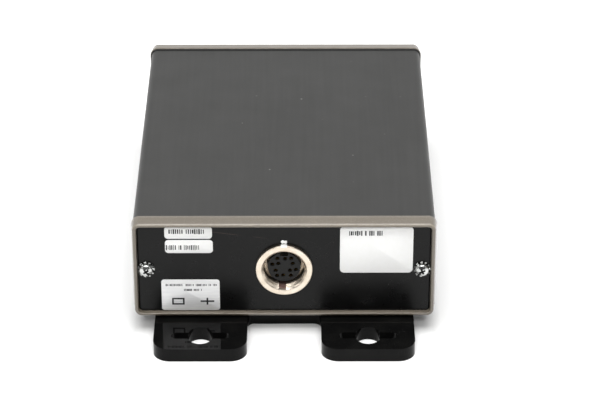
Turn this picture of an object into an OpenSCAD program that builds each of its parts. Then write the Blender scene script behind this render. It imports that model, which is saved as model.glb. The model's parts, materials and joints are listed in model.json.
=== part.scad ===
/* [Enclosure] */
// Width of the extruded tube, outside
tube_w = 105; // [99:0.5:120]
// Height of the extruded tube, outside
tube_h = 37.4; // [35:0.2:48]
// Length of the extruded tube
tube_len = 130; // [124:1:180]
// Wall of the tube
wall = 1.8; // [1.4:0.1:2.4]
// Outside radius of the tube's long edges
edge_r = 2.5; // [2:0.1:4]
// Inside radius of the tube's corners
inner_r = 1; // [0.6:0.1:2]

/* [Card rails and screw channels] */
// How far the card rails stand out from the side walls
rail_reach = 2.2; // [1.6:0.1:2.6]
// Thickness of one rail
rail_t = 1.2; // [1:0.1:1.6]
// Play of the board's thickness in its slot
slot_play = 0.4; // [0.2:0.05:0.6]
// Play between the board's edge and the side wall
board_side_play = 0.3; // [0.1:0.05:0.6]
// Radius of the screw channel on each side wall
channel_r = 2.9; // [2.6:0.1:3.2]
// Distance from the tube's side to the end screw's axis
screw_inset = 4.4; // [4:0.1:5]

/* [End bezels] */
// Depth of a bezel, from the tube's end to its face
bezel_depth = 5.5; // [5:0.1:8]
// How far a bezel's back edge stands proud of the tube
flare = 0.55; // [0.2:0.05:0.7]
// Width of the rim round the window
rim_w = 1.4; // [1.2:0.1:2]
// Break on the rim's front edges
edge_break = 0.5; // [0.2:0.05:0.7]
// How far the end panel lies behind the bezel's face
panel_recess = 1.5; // [1:0.1:2]
// How far the web behind the panel reaches into the window
web_reach = 2.2; // [1.8:0.1:3]
// Radius of the window's corners
window_r = 1.3; // [1:0.1:2]
// Length of the tongues that locate a bezel in the tube
tongue_len = 3; // [2:0.5:5]
// Width of a tongue
tongue_w = 18; // [10:1:24]
// Thickness of a tongue
tongue_t = 1.1; // [0.9:0.1:1.2]
// Distance of a tongue from the middle
tongue_x = 28; // [20:1:32]
// Gap between a tongue and the tube's wall
tongue_gap = 0.15; // [0.05:0.05:0.3]
// How far the round ears at the screws reach into the rim
ear_bite = 0.6; // [0.3:0.1:0.9]

/* [End panels] */
// Thickness of an end panel
panel_t = 1.6; // [1.2:0.1:2]
// Gap round an end panel in its window
panel_gap = 0.1; // [0.05:0.05:0.2]
// Thickness of the stick-on labels
label_t = 0.1; // [0.05:0.05:0.2]
// Margin between the labels and the panel's upper or lower edge
label_margin = 0.2; // [0.1:0.05:1]
// Gap between the two small labels
label_gap = 0.5; // [0.2:0.05:1]

/* [Mounting plate] */
// Width of the plate
plate_w = 91; // [86:0.5:96]
// Thickness of the plate
plate_t = 5; // [4:0.25:6]
// How far the tabs reach past a bezel's face
tab_reach = 20; // [19:0.5:30]
// Width of one tab
tab_w = 32.6; // [30:0.1:36]
// Depth of the notch between two tabs
notch_depth = 24.2; // [20:0.1:30]
// Radius of the tabs' outer corners
tab_r = 6; // [3:0.5:8]
// Radius where a tab meets the plate
root_r = 2.5; // [1:0.5:4]
// Distance from a tab's tip to the middle of its keyhole
key_inset = 8.75; // [8:0.25:10]
// Width of the keyhole's head opening
key_w = 8.4; // [7:0.1:10]
// Length of the keyhole's head opening
key_len = 10.6; // [10:0.1:12]
// Width of the keyhole's cross slot
slot_w = 3.9; // [3.2:0.1:4.5]
// Length of the keyhole's cross slot
slot_len = 20.4; // [18:0.2:22]
// Thickness of the washers between the plate and the tube
spacer_t = 0.8; // [0.6:0.1:2]
// Radius of those washers
spacer_r = 3.5; // [3:0.1:4]
// Distance of a plate screw from the middle, sideways
fix_x = 36; // [30:1:40]
// Distance of a plate screw from the middle, lengthways
fix_y = 46; // [40:1:50]

/* [Fasteners] */
// Radius of the M3 screws
screw_r = 1.5; // [1.3:0.1:1.6]
// Radial play of a screw in a clearance hole
hole_play = 0.2; // [0.1:0.05:0.3]
// Radial play of a screw in its thread
thread_play = 0.05; // [0.02:0.01:0.1]
// Radius of an end screw's head
head_r = 2.6; // [2.4:0.05:2.8]
// Height of an end screw's head
head_h = 1.9; // [1.6:0.1:2.2]
// Length of an end screw below its head
end_screw_len = 12; // [9:0.5:16]
// Outside radius of the toothed washer
tooth_r = 2.95; // [2.85:0.05:3]
// Radius of the toothed washer's ring
tooth_ring_r = 2.2; // [2.1:0.05:2.4]
// Thickness of the toothed washer's sheet
tooth_t = 0.4; // [0.3:0.05:0.5]
// Number of teeth
tooth_count = 11; // [8:1:14]
// Twist of each tooth
tooth_twist = 22; // [10:1:30]
// Width of a tooth
tooth_w = 0.85; // [0.6:0.05:1]
// Radius of a countersunk head
sunk_head_r = 2.8; // [2.6:0.05:3]
// How far a countersunk head lies inside the plate
sunk_depth = 0.2; // [0.1:0.05:0.4]
// Width across the flats of an M3 nut
nut_flats = 5.5; // [5:0.1:6]
// Height of an M3 nut
nut_h = 2.4; // [2:0.1:3]
// Length of a screw's end past its nut
screw_tail = 1; // [0.5:0.1:2]
// Length across the cross recess in a screw head
cross_len = 2.9; // [2.4:0.1:3.2]
// Width of one arm of the cross recess
cross_w = 0.7; // [0.5:0.05:0.9]
// Depth of the cross recess
cross_depth = 1; // [0.8:0.05:1.2]

/* [Sensor receptacle] */
// Radius of the flange
flange_r = 9.95; // [9.6:0.05:11]
// Thickness of the flange
flange_t = 1.2; // [1:0.1:2]
// Round on the flange's outer edge
flange_round = 0.4; // [0.2:0.05:0.5]
// Radius of the threaded barrel
barrel_r = 7.95; // [7.9:0.05:8.2]
// Length of the barrel behind the flange
barrel_len = 13; // [12.5:0.5:16]
// Radius of the bore
bore_r = 7.1; // [6.95:0.05:7.15]
// Widening of the bore at its mouth
mouth_break = 0.5; // [0.3:0.05:0.6]
// Width of the key groove in the bore
key_groove_w = 2.4; // [1.6:0.1:3]
// Depth of the key groove in the bore
key_groove_depth = 0.5; // [0.3:0.05:0.6]
// Turn of the key groove from straight down
key_groove_turn = -5; // [-10:1:10]
// Radius of the insert's nose
insert_r = 5.75; // [5.6:0.05:5.8]
// How far the insert's face lies behind the flange's face
insert_recess = 2.2; // [2:0.1:3]
// Width of the insert's keyway
keyway_w = 2.8; // [2:0.1:3]
// Depth of the insert's keyway, inwards from its edge
keyway_depth = 1.25; // [0.8:0.05:1.3]
// Radius of the shoulder that stops the insert
shoulder_r = 6.1; // [6:0.05:6.2]
// Thickness of the shoulder
shoulder_t = 1; // [0.8:0.1:1.5]
// Where the shoulder starts behind the flange's face
shoulder_at = 7; // [6.5:0.1:8]
// Width of the ring groove in the shoulder's face
face_groove_w = 0.4; // [0.2:0.05:0.5]
// Depth of that groove
face_groove_depth = 0.7; // [0.3:0.05:0.75]
// Inside radius of that groove
face_groove_r = 6.3; // [6.25:0.05:6.4]
// Radius of the insert's collar
collar_r = 6.7; // [6.5:0.05:6.8]
// Thickness of the insert's collar
collar_t = 2; // [1.5:0.1:2.5]
// Thickness of the ring that holds the insert
retainer_t = 0.8; // [0.6:0.1:1]
// Radius of a contact
contact_r = 0.75; // [0.7:0.02:0.78]
// Radius of the hole in the insert's face over a contact
contact_mouth_r = 0.65; // [0.6:0.01:0.68]
// How far a contact lies behind the insert's face
contact_recess = 1; // [0.8:0.1:1.5]
// Radius of a contact's bore
contact_bore_r = 0.5; // [0.4:0.02:0.55]
// Depth of a contact's bore
contact_bore_depth = 6; // [4:0.5:7]
// Radius of a contact's solder tail
tail_r = 0.45; // [0.4:0.02:0.5]
// Length of a solder tail
tail_len = 3; // [2:0.5:4]
// Radial play between parts of the receptacle
fit_play = 0.05; // [0.03:0.01:0.08]
// Radius of the sealing ring's section
seal_r = 0.35; // [0.3:0.05:0.4]
// Radius of the sealing ring's middle line
seal_ring_r = 8.95; // [8.85:0.05:9]
// Width across the flats of the barrel's nut
ring_nut_flats = 20; // [19:0.5:22]
// Height of the barrel's nut
ring_nut_h = 2.6; // [2:0.1:3]
// Outside radius of the barrel's washer
ring_washer_r = 9.6; // [9:0.1:10.5]
// Thickness of the barrel's washer
ring_washer_t = 0.8; // [0.6:0.1:1]

/* [Rear plug socket] */
// Distance between the two jackscrews
jack_spacing = 33.3; // [33.3:0.1:34]
// Width of the socket's shell at its wide side
shell_w = 25; // [24.6:0.1:25.4]
// Height of the socket's shell
shell_h = 8.3; // [8:0.1:8.6]
// Radius of the shell's corners
shell_r = 2.4; // [2:0.1:2.6]
// Slope of the shell's ends, in degrees
shell_slope = 10; // [8:1:12]
// Sheet of the shell
shell_t = 0.4; // [0.3:0.05:0.5]
// Height of the shell over its flange
shell_reach = 5.9; // [5.5:0.1:6.2]
// Width of the flange
socket_flange_w = 39.2; // [39:0.1:41]
// Height of the flange
socket_flange_h = 12.5; // [12:0.1:13]
// Thickness of the flange
socket_flange_t = 0.8; // [0.6:0.1:1]
// Radius of the flange's corners
socket_flange_r = 1.5; // [0.5:0.1:2]
// Gap round the shell in the rear panel
shell_gap = 0.25; // [0.15:0.05:0.4]
// Depth of the insulator behind the flange
insulator_depth = 8; // [7:0.5:9]
// How far the insulator's face lies inside the shell
insulator_recess = 0.2; // [0.1:0.05:0.4]
// Thickness of the foot that carries the insulator on the board
foot_t = 2; // [1.6:0.1:3]
// Sideways pitch of the socket's contacts
pin_pitch = 2.3; // [2.2:0.05:2.35]
// Distance between the rows of contacts
row_pitch = 1.98; // [1.9:0.02:2.1]
// Radius of a contact hole
pin_hole_r = 0.55; // [0.5:0.02:0.6]
// Depth of a contact hole
pin_hole_depth = 4; // [3:0.5:5]
// Radius of a contact's tail
pin_r = 0.3; // [0.25:0.01:0.35]
// How far a tail sits in the insulator
pin_hold = 2; // [1:0.5:3]
// Distance from the insulator to the first row of turned tails
pin_bend = 1.4; // [1:0.1:2]
// Length of a jackscrew's hex
jack_len = 5; // [4.5:0.1:6]
// Width across a jackscrew's flats
jack_flats = 4.8; // [4.6:0.1:5]
// Radius of the thread in a jackscrew
jack_hole_r = 1.2; // [1.1:0.05:1.3]
// Depth of the thread in a jackscrew
jack_hole_depth = 4.4; // [3.5:0.1:4.4]
// Radius of a jackscrew's stud
jack_stud_r = 1.4; // [1.3:0.05:1.5]

/* [Circuit board] */
// Thickness of the board
board_t = 1.6; // [1.2:0.2:1.6]
// Radius of the corners of the board and the power converter
corner_r = 1; // [0.5:0.1:2]
// Room between the front end of the tube and the board
front_room = 18; // [16:0.5:20]
// Distance from the rear end of the tube to the board
board_back = 2; // [1:0.5:3]
// Height of the axis over the board's upper face
axis_over_board = 7.4; // [7:0.1:7.6]
// How far a lead sticks out under the board
lead_tail = 1; // [0.6:0.1:1.5]
// Radius of a thin lead
lead_r = 0.3; // [0.25:0.01:0.35]

/* [Parts on the board] */
// Side of the square power converter
converter_w = 25.4; // [22:0.2:28]
// Height of the power converter
converter_h = 10.2; // [8:0.1:11]
// Distance from the board's left side to the power converter
converter_edge = 9.7; // [8:0.1:12]
// Distance from the board's front edge to the middle of the power converter
converter_at = 65; // [60:1:70]
// Radius of a capacitor
cap_r = 4; // [3:0.5:5]
// Height of a capacitor
cap_h = 11.5; // [8:0.5:14]
// Height of the rolled bead over the board
bead_at = 1.7; // [1.2:0.1:2.5]
// Radius of the rolled bead
bead_r = 0.6; // [0.4:0.05:0.8]
// Depth of the rolled bead
bead_depth = 0.35; // [0.2:0.05:0.4]
// Step round the top of a capacitor
cap_step = 0.4; // [0.2:0.05:0.6]
// Gap between the capacitors and what stands beside them
cap_gap = 2; // [1:0.5:3]
// Width and length of the line choke
choke_w = 12; // [10:0.5:13]
// Height of the line choke
choke_h = 5.6; // [5:0.1:7]
// Gap between the choke and the power converter
choke_gap = 7.3; // [5:0.1:9]
// Radius of the resettable fuse's disc
fuse_r = 4.6; // [4:0.1:5]
// Thickness of the fuse's disc
fuse_t = 3; // [2:0.1:4]
// Distance between the fuse's leads
fuse_pitch = 5; // [4:0.5:6]
// Height of the fuse's disc over the board
fuse_stand = 2.4; // [1:0.1:4]
// Gap between the fuse and the choke
fuse_gap = 5.4; // [3:0.1:8]
// Thickness of a resistor network
network_t = 2.4; // [2:0.1:2.6]
// Height of a resistor network
network_h = 5; // [4:0.1:6]
// Height of a resistor network over the board
network_stand = 0.7; // [0.4:0.1:1]
// Gap between the resistor networks
network_gap = 1.6; // [1:0.1:3]
// Distance from the board's left side to the resistor networks
network_edge = 8.2; // [6:0.1:10]
// Distance from the board's front edge to the middle of the resistor networks
network_at = 20; // [14:1:24]
// Length of an amplifier chip
chip_l = 10.3; // [9:0.1:11]
// Width of an amplifier chip
chip_w = 7.5; // [6:0.1:8]
// Height of an amplifier chip
chip_h = 2.3; // [1.8:0.1:2.6]
// Gap between an amplifier chip and the board
chip_gap = 0.25; // [0.15:0.05:0.4]
// Number of amplifier chips
chip_count = 6; // [4:1:6]
// Distance between the chips' columns
chip_pitch_x = 17; // [15:0.5:19]
// Distance between the chips' rows
chip_pitch_y = 14; // [13:0.5:18]
// Distance from the board's right side to the middle of the outer column
chip_edge = 17.4; // [14:0.1:20]
// Distance from the board's front edge to the first row
chip_at = 25; // [20:1:30]
// Pitch of a chip's legs
leg_pitch = 1.27; // [1:0.01:1.27]
// How far a leg reaches out from its chip
leg_reach = 1.6; // [1.4:0.1:1.8]
// Thickness of a leg
leg_t = 0.25; // [0.2:0.01:0.3]

/* [Wires, plug and header] */
// Pitch of the plug and header contacts
plug_pitch = 2.54; // [2.5:0.01:2.54]
// Length of the plug
plug_l = 7; // [6:0.5:8]
// Body of the plug round its contacts
plug_rim = 0.6; // [0.5:0.1:0.8]
// Distance from the receptacle's tails to the plug
wire_run = 9; // [8.5:0.5:12]
// Radius of a wire
wire_r = 0.5; // [0.4:0.05:0.55]
// Straight stretch at each end of a wire
wire_lead = 1.5; // [1:0.1:2]
// Depth of the wires' holes in the plug
plug_hole_depth = 2; // [1:0.1:2]
// Wall of the header's shroud
shroud_t = 0.9; // [0.7:0.1:1.2]
// Play of the plug in the header
shroud_play = 0.1; // [0.05:0.05:0.2]
// How far the plug sits in the header
shroud_overlap = 5; // [4:0.5:5.5]
// Thickness of the header's base
shroud_base = 2.5; // [2:0.1:3]
// Radius of a header pin
header_pin_r = 0.32; // [0.28:0.01:0.34]
// How far a header pin's end lies inside the header's mouth
header_pin_inset = 1; // [0.5:0.1:2]

/* [Hidden] */
$fn = 64;
FINE = 24;
SLIVER = 0.01;
HAIR = 0.004;

// Heights: the plate lies on the ground, the tube stands over it on washers.
tube_z = plate_t + spacer_t;
axis_z = tube_z + tube_h / 2;
half_w = tube_w / 2;
half_h = tube_h / 2;
in_w = half_w - wall;
in_h = half_h - wall;

// End frame: z runs outwards from the tube's end, y is up from the tube's axis.
window_w = tube_w - 2 * rim_w;
window_h = tube_h - 2 * rim_w;
face_z = bezel_depth - panel_recess;
web_t = face_z - panel_t;
screw_x = half_w - screw_inset;
clear_r = screw_r + hole_play;
tap_r = screw_r + thread_play;
ear_r = screw_inset - rim_w + ear_bite;
washer_h = tooth_t + tooth_w * sin(tooth_twist);
tooth_root = 0.2;

// Mounting plate
plate_len = tube_len + 2 * bezel_depth + 2 * tab_reach;
notch_w = plate_w - 2 * tab_w;
key_x = (plate_w - tab_w) / 2;
key_y = plate_len / 2 - key_inset;
sunk_cone_h = sunk_head_r - screw_r;
nut_z = tube_z + wall;

// Receptacle, in the end frame
flange_face = face_z + flange_t;
insert_face = flange_face - insert_recess;
shoulder_z = flange_face - shoulder_at;
key_groove_z = (shoulder_z + flange_face) / 2;
stop_z = shoulder_z - shoulder_t;
barrel_end = face_z - barrel_len;
insert_end = barrel_end;
rear_bore_r = collar_r + fit_play;
retainer_z = stop_z - collar_t - retainer_t;
contact_hole_r = contact_r + fit_play;
tail_end = insert_end - tail_len;
keyway_len = 4;

// Six contact places; the other six lie opposite them through the centre.
half_pattern = [[-4.15, 1.1], [-2.35, 3.45], [-2.05, 1.4], [0.35, 3.35], [2.5, 3.5], [3, 1.4]];
contact_places = concat(half_pattern, [for (i = [5:-1:0]) -half_pattern[i]]);

// Rear socket, in the end frame
socket_z = web_t;
socket_back = socket_z - socket_flange_t;
insulator_back = socket_back - insulator_depth;
pin_rows = [9, 9, 8];
pins = [for (row = [0:2]) for (i = [0:pin_rows[row] - 1]) let(shift = row == 1 ? pin_pitch / 4 : 0)
    [(i - (pin_rows[row] - 1) / 2) * pin_pitch + shift, (1 - row) * row_pitch, row]];
function turn_of(pin) = insulator_back - pin_bend - (len(pin_rows) - 1 - pin[2]) * row_pitch;

// Board
board_top = axis_z - axis_over_board;
board_z = board_top - board_t;
board_w = 2 * (in_w - board_side_play);
board_left = -board_w / 2;
board_front = -tube_len / 2 + front_room;
board_rear = tube_len / 2 - board_back;
board_len = board_rear - board_front;
slot_h = board_t + slot_play;

// Places of the parts on the board
converter_x = board_left + converter_edge + converter_w / 2;
converter_y = board_front + converter_at;
cap_x = converter_x + converter_w / 2 + cap_gap + cap_r;
cap_pitch = 2 * cap_r + cap_gap;
choke_y = converter_y - converter_w / 2 - choke_gap - choke_w / 2;
fuse_x = converter_x + choke_w / 2 + fuse_gap + fuse_r;
network_l = 8 * plug_pitch;
network_x = board_left + network_edge + network_t / 2;
network_places = [for (i = [0, 1]) [network_x + i * (network_t + network_gap), board_front + network_at]];
chip_places = [for (i = [0:chip_count - 1]) [
    board_w / 2 - chip_edge - (i % 2) * chip_pitch_x,
    board_front + chip_at + floor(i / 2) * chip_pitch_y
]];
fuse_leads = [for (side = [-1, 1]) [fuse_x + side * fuse_pitch / 2, choke_y]];
network_leads = [for (n = network_places) for (k = [0:7]) n + [0, (k - 3.5) * plug_pitch]];
lead_places = concat(fuse_leads, network_leads);

// Plug and header for the sensor's wires
plug_w = 6 * plug_pitch + 2 * plug_rim;
plug_h = 2 * plug_pitch + 2 * plug_rim;
header_w = plug_w + 2 * (shroud_play + shroud_t);
header_h = plug_h + 2 * (shroud_play + shroud_t);
plug_y = -tube_len / 2 - tail_end + wire_run;
plug_z = board_top + header_h / 2;
plug_hole_r = wire_r + fit_play;
pin_turn_y = plug_y + plug_l + shroud_base + 2 * header_pin_r;
bend_step = 0.05;
plug_places = [for (k = [0:11])
    [((k % 6) - 2.5) * plug_pitch, (k < 6 ? 0.5 : -0.5) * plug_pitch]];

function unit(v) = v / norm(v);
function side_normal(a, b) = let(d = unit(b - a)) [d[1], -d[0]];

// The outline round equal circles at the given points, which run anticlockwise.
// Slanted sides lie a hair inside the circles, so that they cross them cleanly.
module round_outline(points, r, hair = 0) {
    count = len(points);
    polygon([for (i = [0:count - 1]) for (end = [0, 1])
        points[(i + end) % count] + (r - hair) * side_normal(points[i], points[(i + 1) % count])]);
    for (p = points) translate(p) circle(r);
}

module round_rect(w, h, r) {
    x = w / 2 - r;
    y = h / 2 - r;
    round_outline([[-x, -y], [x, -y], [x, y], [-x, y]], r);
}

module obround(len, w) {
    square([len - w, w], center = true);
    for (side = [-1, 1]) translate([side * (len - w) / 2, 0]) circle(w / 2);
}

// Children are drawn on an end of the tube, looking at it from outside.
module at_end(turn) {
    rotate([0, 0, turn]) translate([0, -tube_len / 2, axis_z]) rotate([90, 0, 0]) children();
}

module at_end_screws() {
    for (side = [-1, 1]) translate([side * screw_x, 0, 0]) children();
}

module at_jackscrews() {
    for (side = [-1, 1]) translate([side * jack_spacing / 2, 0, 0]) children();
}

module from_to(z0, z1) {
    translate([0, 0, z0]) linear_extrude(z1 - z0) children();
}

module disc(r, z0, z1) {
    translate([0, 0, z0]) cylinder(r = r, h = z1 - z0);
}

module ring(r_out, r_in, z0, z1) {
    difference() {
        disc(r_out, z0, z1);
        disc(r_in, z0 - 1, z1 + 1);
    }
}

module hex_prism(flats, z0, z1) {
    translate([0, 0, z0]) cylinder(d = flats / cos(30), h = z1 - z0, $fn = 6);
}

// Mounting plate

module plate_outline() {
    difference() {
        round_rect(plate_w, plate_len, tab_r);
        for (turn = [0, 180]) rotate(turn) translate([0, -plate_len / 2]) tab_notch();
    }
}

// The gap between two tabs, with the tabs' tips rounded and the roots filleted.
module tab_notch() {
    translate([-notch_w / 2, -1]) square([notch_w, notch_depth + 1 - root_r]);
    translate([root_r - notch_w / 2, 0]) square([notch_w - 2 * root_r, notch_depth]);
    for (side = [-1, 1]) {
        translate([side * (notch_w / 2 - root_r), notch_depth - root_r]) circle(root_r);
        difference() {
            translate([side * (notch_w + tab_r) / 2, tab_r / 2 - 1])
                square([tab_r, tab_r + 2], center = true);
            translate([side * (notch_w / 2 + tab_r), tab_r]) circle(tab_r);
        }
    }
}

module keyhole() {
    rotate(90) obround(key_len, key_w);
    obround(slot_len, slot_w);
}

module at_keyholes() {
    for (x = [-key_x, key_x]) for (y = [-key_y, key_y]) translate([x, y]) children();
}

module at_plate_screws() {
    for (x = [-fix_x, fix_x]) for (y = [-fix_y, fix_y]) translate([x, y, 0]) children();
}

module mounting_plate() {
    color("#1a1a1a") difference() {
        linear_extrude(plate_t) difference() {
            plate_outline();
            at_keyholes() keyhole();
        }
        at_plate_screws() {
            disc(clear_r, -1, plate_t + 1);
            disc(sunk_head_r, -1, sunk_depth);
            translate([0, 0, sunk_depth]) cylinder(r1 = sunk_head_r, r2 = screw_r, h = sunk_cone_h);
        }
    }
}

module cross_recess(top) {
    for (turn = [0, 90]) rotate(turn) translate([0, 0, top - cross_depth / 2])
        cube([cross_len, cross_w, cross_depth + SLIVER], center = true);
}

module plate_screws() {
    color("silver") at_plate_screws() difference() {
        union() {
            disc(screw_r, sunk_depth, nut_z + nut_h + screw_tail);
            translate([0, 0, sunk_depth]) cylinder(r1 = sunk_head_r, r2 = screw_r, h = sunk_cone_h);
        }
        translate([0, 0, 2 * sunk_depth]) mirror([0, 0, 1]) cross_recess(sunk_depth);
    }
}

module plate_spacers() {
    color("dimgray") at_plate_screws() ring(spacer_r, clear_r, plate_t, tube_z);
}

module plate_nuts() {
    color("silver") at_plate_screws() difference() {
        hex_prism(nut_flats, nut_z, nut_z + nut_h);
        disc(tap_r, nut_z - 1, nut_z + nut_h + 1);
    }
}

// Extruded tube

module tube_profile() {
    difference() {
        union() {
            difference() {
                round_rect(tube_w, tube_h, edge_r);
                round_rect(2 * in_w, 2 * in_h, inner_r);
            }
            for (side = [-1, 1]) {
                translate([side * screw_x, 0]) circle(channel_r);
                translate([side * (screw_x + in_w) / 2, 0])
                    square([in_w - screw_x + wall, 2 * channel_r], center = true);
                for (y = rail_ys) translate([side * (in_w + wall / 2 - rail_reach / 2), y])
                    square([rail_reach + wall, rail_t], center = true);
            }
        }
        for (side = [-1, 1]) translate([side * screw_x, 0]) circle(tap_r);
    }
}

// Rails in pairs under and over each card slot; the upper slot mirrors the lower.
lower_slot = board_z - axis_z;
slot_rails = [lower_slot - rail_t / 2, lower_slot + slot_h + rail_t / 2];
rail_ys = concat(slot_rails, -slot_rails);

module enclosure_tube() {
    color("#4c4c4e") difference() {
        translate([0, 0, axis_z]) rotate([90, 0, 0]) linear_extrude(tube_len, center = true) tube_profile();
        at_plate_screws() disc(clear_r, tube_z - 1, tube_z + wall + 1);
    }
}

// End bezels

// Side view of the bezel across a half width; its back edge is flared, its front edge broken.
module bezel_section(half) {
    polygon([
        [0, 0], [half + flare, 0], [half, bezel_depth - edge_break],
        [half - edge_break, bezel_depth], [0, bezel_depth]
    ]);
}

module bezel_block() {
    x = half_w - edge_r;
    y = half_h - edge_r;
    for (side = [0, 1]) mirror([side, 0, 0]) rotate([90, 0, 0])
        linear_extrude(2 * y, center = true) bezel_section(half_w);
    for (turn = [90, 270]) rotate(turn) rotate([90, 0, 0])
        linear_extrude(2 * x, center = true) bezel_section(half_h);
    for (sx = [-x, x]) for (sy = [-y, y]) translate([sx, sy, 0]) rotate_extrude() bezel_section(edge_r);
}

module bezel() {
    difference() {
        union() {
            difference() {
                bezel_block();
                from_to(web_t, bezel_depth + 1) round_rect(window_w, window_h, window_r);
                from_to(-1, web_t + 1)
                    round_rect(window_w - 2 * web_reach, window_h - 2 * web_reach, window_r);
            }
            at_end_screws() disc(ear_r, 0, web_t);
            for (side = [-1, 1]) for (x = [-tongue_x, tongue_x])
                translate([x, side * (in_h - tongue_gap - tongue_t / 2), web_t / 2]) tongue();
        }
        at_end_screws() disc(clear_r, -1, web_t + 1);
    }
}

module tongue() {
    translate([0, 0, -(web_t + tongue_len) / 2])
        cube([tongue_w, tongue_t, web_t + tongue_len], center = true);
}

module front_bezel() {
    color("#8c857a") at_end(0) bezel();
}

module rear_bezel() {
    color("#8c857a") at_end(180) bezel();
}

// End panels

module panel_blank() {
    difference() {
        from_to(web_t, face_z)
            round_rect(window_w - 2 * panel_gap, window_h - 2 * panel_gap, window_r - panel_gap);
        at_end_screws() disc(clear_r, 0, bezel_depth);
    }
}

module front_panel() {
    color("#202020") at_end(0) difference() {
        panel_blank();
        disc(barrel_r + fit_play, 0, bezel_depth);
    }
}

module rear_panel() {
    color("#202020") at_end(180) difference() {
        panel_blank();
        from_to(0, bezel_depth) shell_outline(shell_gap);
        at_jackscrews() disc(jack_stud_r + hole_play, 0, bezel_depth);
    }
}

// Label: the side and the edge of the panel that it is set out from (-1 left or lower, 1 right or
// upper), its gaps to that side and that edge, its width and height, and its corner radius.
labels = [
    [-1, 1, 9.6, label_margin, 16.5, 4.85, 1.2],
    [-1, 1, 9.7, label_margin + 4.85 + label_gap, 16.6, 5.25, 1.2],
    [-1, -1, 8, label_margin, 20.4, 12.6, 1],
    [1, 1, 6.2, label_margin, 25.4, 18.65, 1.6]
];

module front_labels() {
    color("whitesmoke") at_end(0) for (l = labels) {
        x = l[0] * (window_w / 2 - panel_gap - l[2] - l[4] / 2);
        y = l[1] * (window_h / 2 - panel_gap - l[3] - l[5] / 2);
        translate([x, y, 0]) from_to(face_z, face_z + label_t) round_rect(l[4], l[5], l[6]);
    }
}

// End screws and toothed washers

module pan_screw() {
    seat = face_z + washer_h;
    difference() {
        union() {
            disc(screw_r, seat - end_screw_len, seat);
            translate([0, 0, seat]) pan_head();
        }
        cross_recess(seat + head_h);
    }
}

// A pan head: a short straight side under a dome.
module pan_head() {
    side_h = head_h * 0.35;
    rise = head_h - side_h;
    dome_r = (head_r * head_r + rise * rise) / (2 * rise);
    disc(head_r, 0, side_h);
    intersection() {
        translate([0, 0, head_h - dome_r]) sphere(dome_r);
        disc(head_r, side_h / 2, head_h + 1);
    }
}

module end_screws(turn) {
    color("silver") at_end(turn) at_end_screws() pan_screw();
}

module front_screws() {
    end_screws(0);
}

module rear_screws() {
    end_screws(180);
}

module toothed_washer() {
    mid = face_z + washer_h / 2;
    reach = tooth_r - clear_r - tooth_root;
    ring(tooth_ring_r, clear_r, mid - tooth_t / 2, mid + tooth_t / 2);
    for (i = [0:tooth_count - 1]) rotate(i * 360 / tooth_count) translate([tooth_r - reach / 2, 0, mid])
        rotate([tooth_twist, 0, 0]) cube([reach, tooth_w, tooth_t], center = true);
}

module lock_washers(turn) {
    color("gainsboro") at_end(turn) at_end_screws() toothed_washer();
}

module front_lock_washers() {
    lock_washers(0);
}

module rear_lock_washers() {
    lock_washers(180);
}

// Sensor receptacle

module receptacle_shell() {
    color("#d8cdbf") at_end(0) difference() {
        union() {
            disc(barrel_r, barrel_end, face_z);
            disc(flange_r, face_z, flange_face - flange_round);
            translate([0, 0, flange_face - flange_round])
                cylinder(r1 = flange_r, r2 = flange_r - flange_round, h = flange_round);
        }
        disc(bore_r, shoulder_z, flange_face + 1);
        translate([0, 0, flange_face - mouth_break])
            cylinder(r1 = bore_r, r2 = bore_r + mouth_break, h = mouth_break + SLIVER);
        disc(shoulder_r, stop_z - 1, shoulder_z + 1);
        ring(face_groove_r + face_groove_w, face_groove_r, shoulder_z - face_groove_depth, shoulder_z + 1);
        disc(rear_bore_r, barrel_end - 1, stop_z);
        rotate(key_groove_turn) translate([0, -(bore_r + key_groove_depth) / 2, key_groove_z])
            cube([key_groove_w, bore_r + key_groove_depth, 2 * insert_recess], center = true);
        rotate_extrude() translate([seal_ring_r - seal_r, face_z - 1]) square([2 * seal_r, 1 + 2 * seal_r]);
    }
}

module receptacle_seal() {
    color("#222222") at_end(0) translate([0, 0, face_z + seal_r]) rotate_extrude()
        translate([seal_ring_r, 0]) circle(seal_r);
}

module receptacle_insert() {
    color("#1c1c1e") at_end(0) difference() {
        union() {
            disc(insert_r, insert_end, insert_face);
            disc(collar_r, stop_z - collar_t, stop_z);
        }
        for (p = contact_places) translate([p[0], p[1], 0]) {
            disc(contact_mouth_r, insert_end - 1, insert_face + 1);
            disc(contact_hole_r, insert_end - 1, insert_face - contact_recess);
        }
        translate([-keyway_w / 2, insert_r - keyway_depth, insert_face - keyway_len])
            cube([keyway_w, insert_r, keyway_len + 1]);
    }
}

module receptacle_contacts() {
    color("goldenrod") at_end(0) for (p = contact_places) translate([p[0], p[1], 0]) difference() {
        union() {
            disc(contact_r, insert_end, insert_face - contact_recess);
            disc(tail_r, tail_end, insert_end);
        }
        disc(contact_bore_r, insert_face - contact_recess - contact_bore_depth, insert_face);
    }
}

module receptacle_retainer() {
    color("silver") at_end(0) ring(collar_r, insert_r + fit_play, retainer_z, stop_z - collar_t);
}

module receptacle_washer() {
    color("silver") at_end(0) ring(ring_washer_r, barrel_r + fit_play, web_t - ring_washer_t, web_t);
}

module receptacle_nut() {
    top = web_t - ring_washer_t;
    color("silver") at_end(0) difference() {
        hex_prism(ring_nut_flats, top - ring_nut_h, top);
        disc(barrel_r + fit_play, top - ring_nut_h - 1, top + 1);
    }
}

// Rear socket

// D outline of the shell, made larger all round by grow.
module shell_outline(grow) {
    y = shell_h / 2 - shell_r;
    x = shell_w / 2 - shell_r;
    lean = 2 * y * tan(shell_slope);
    round_outline([[-x + lean, -y], [x - lean, -y], [x, y], [-x, y]], shell_r + grow, HAIR);
}

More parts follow.
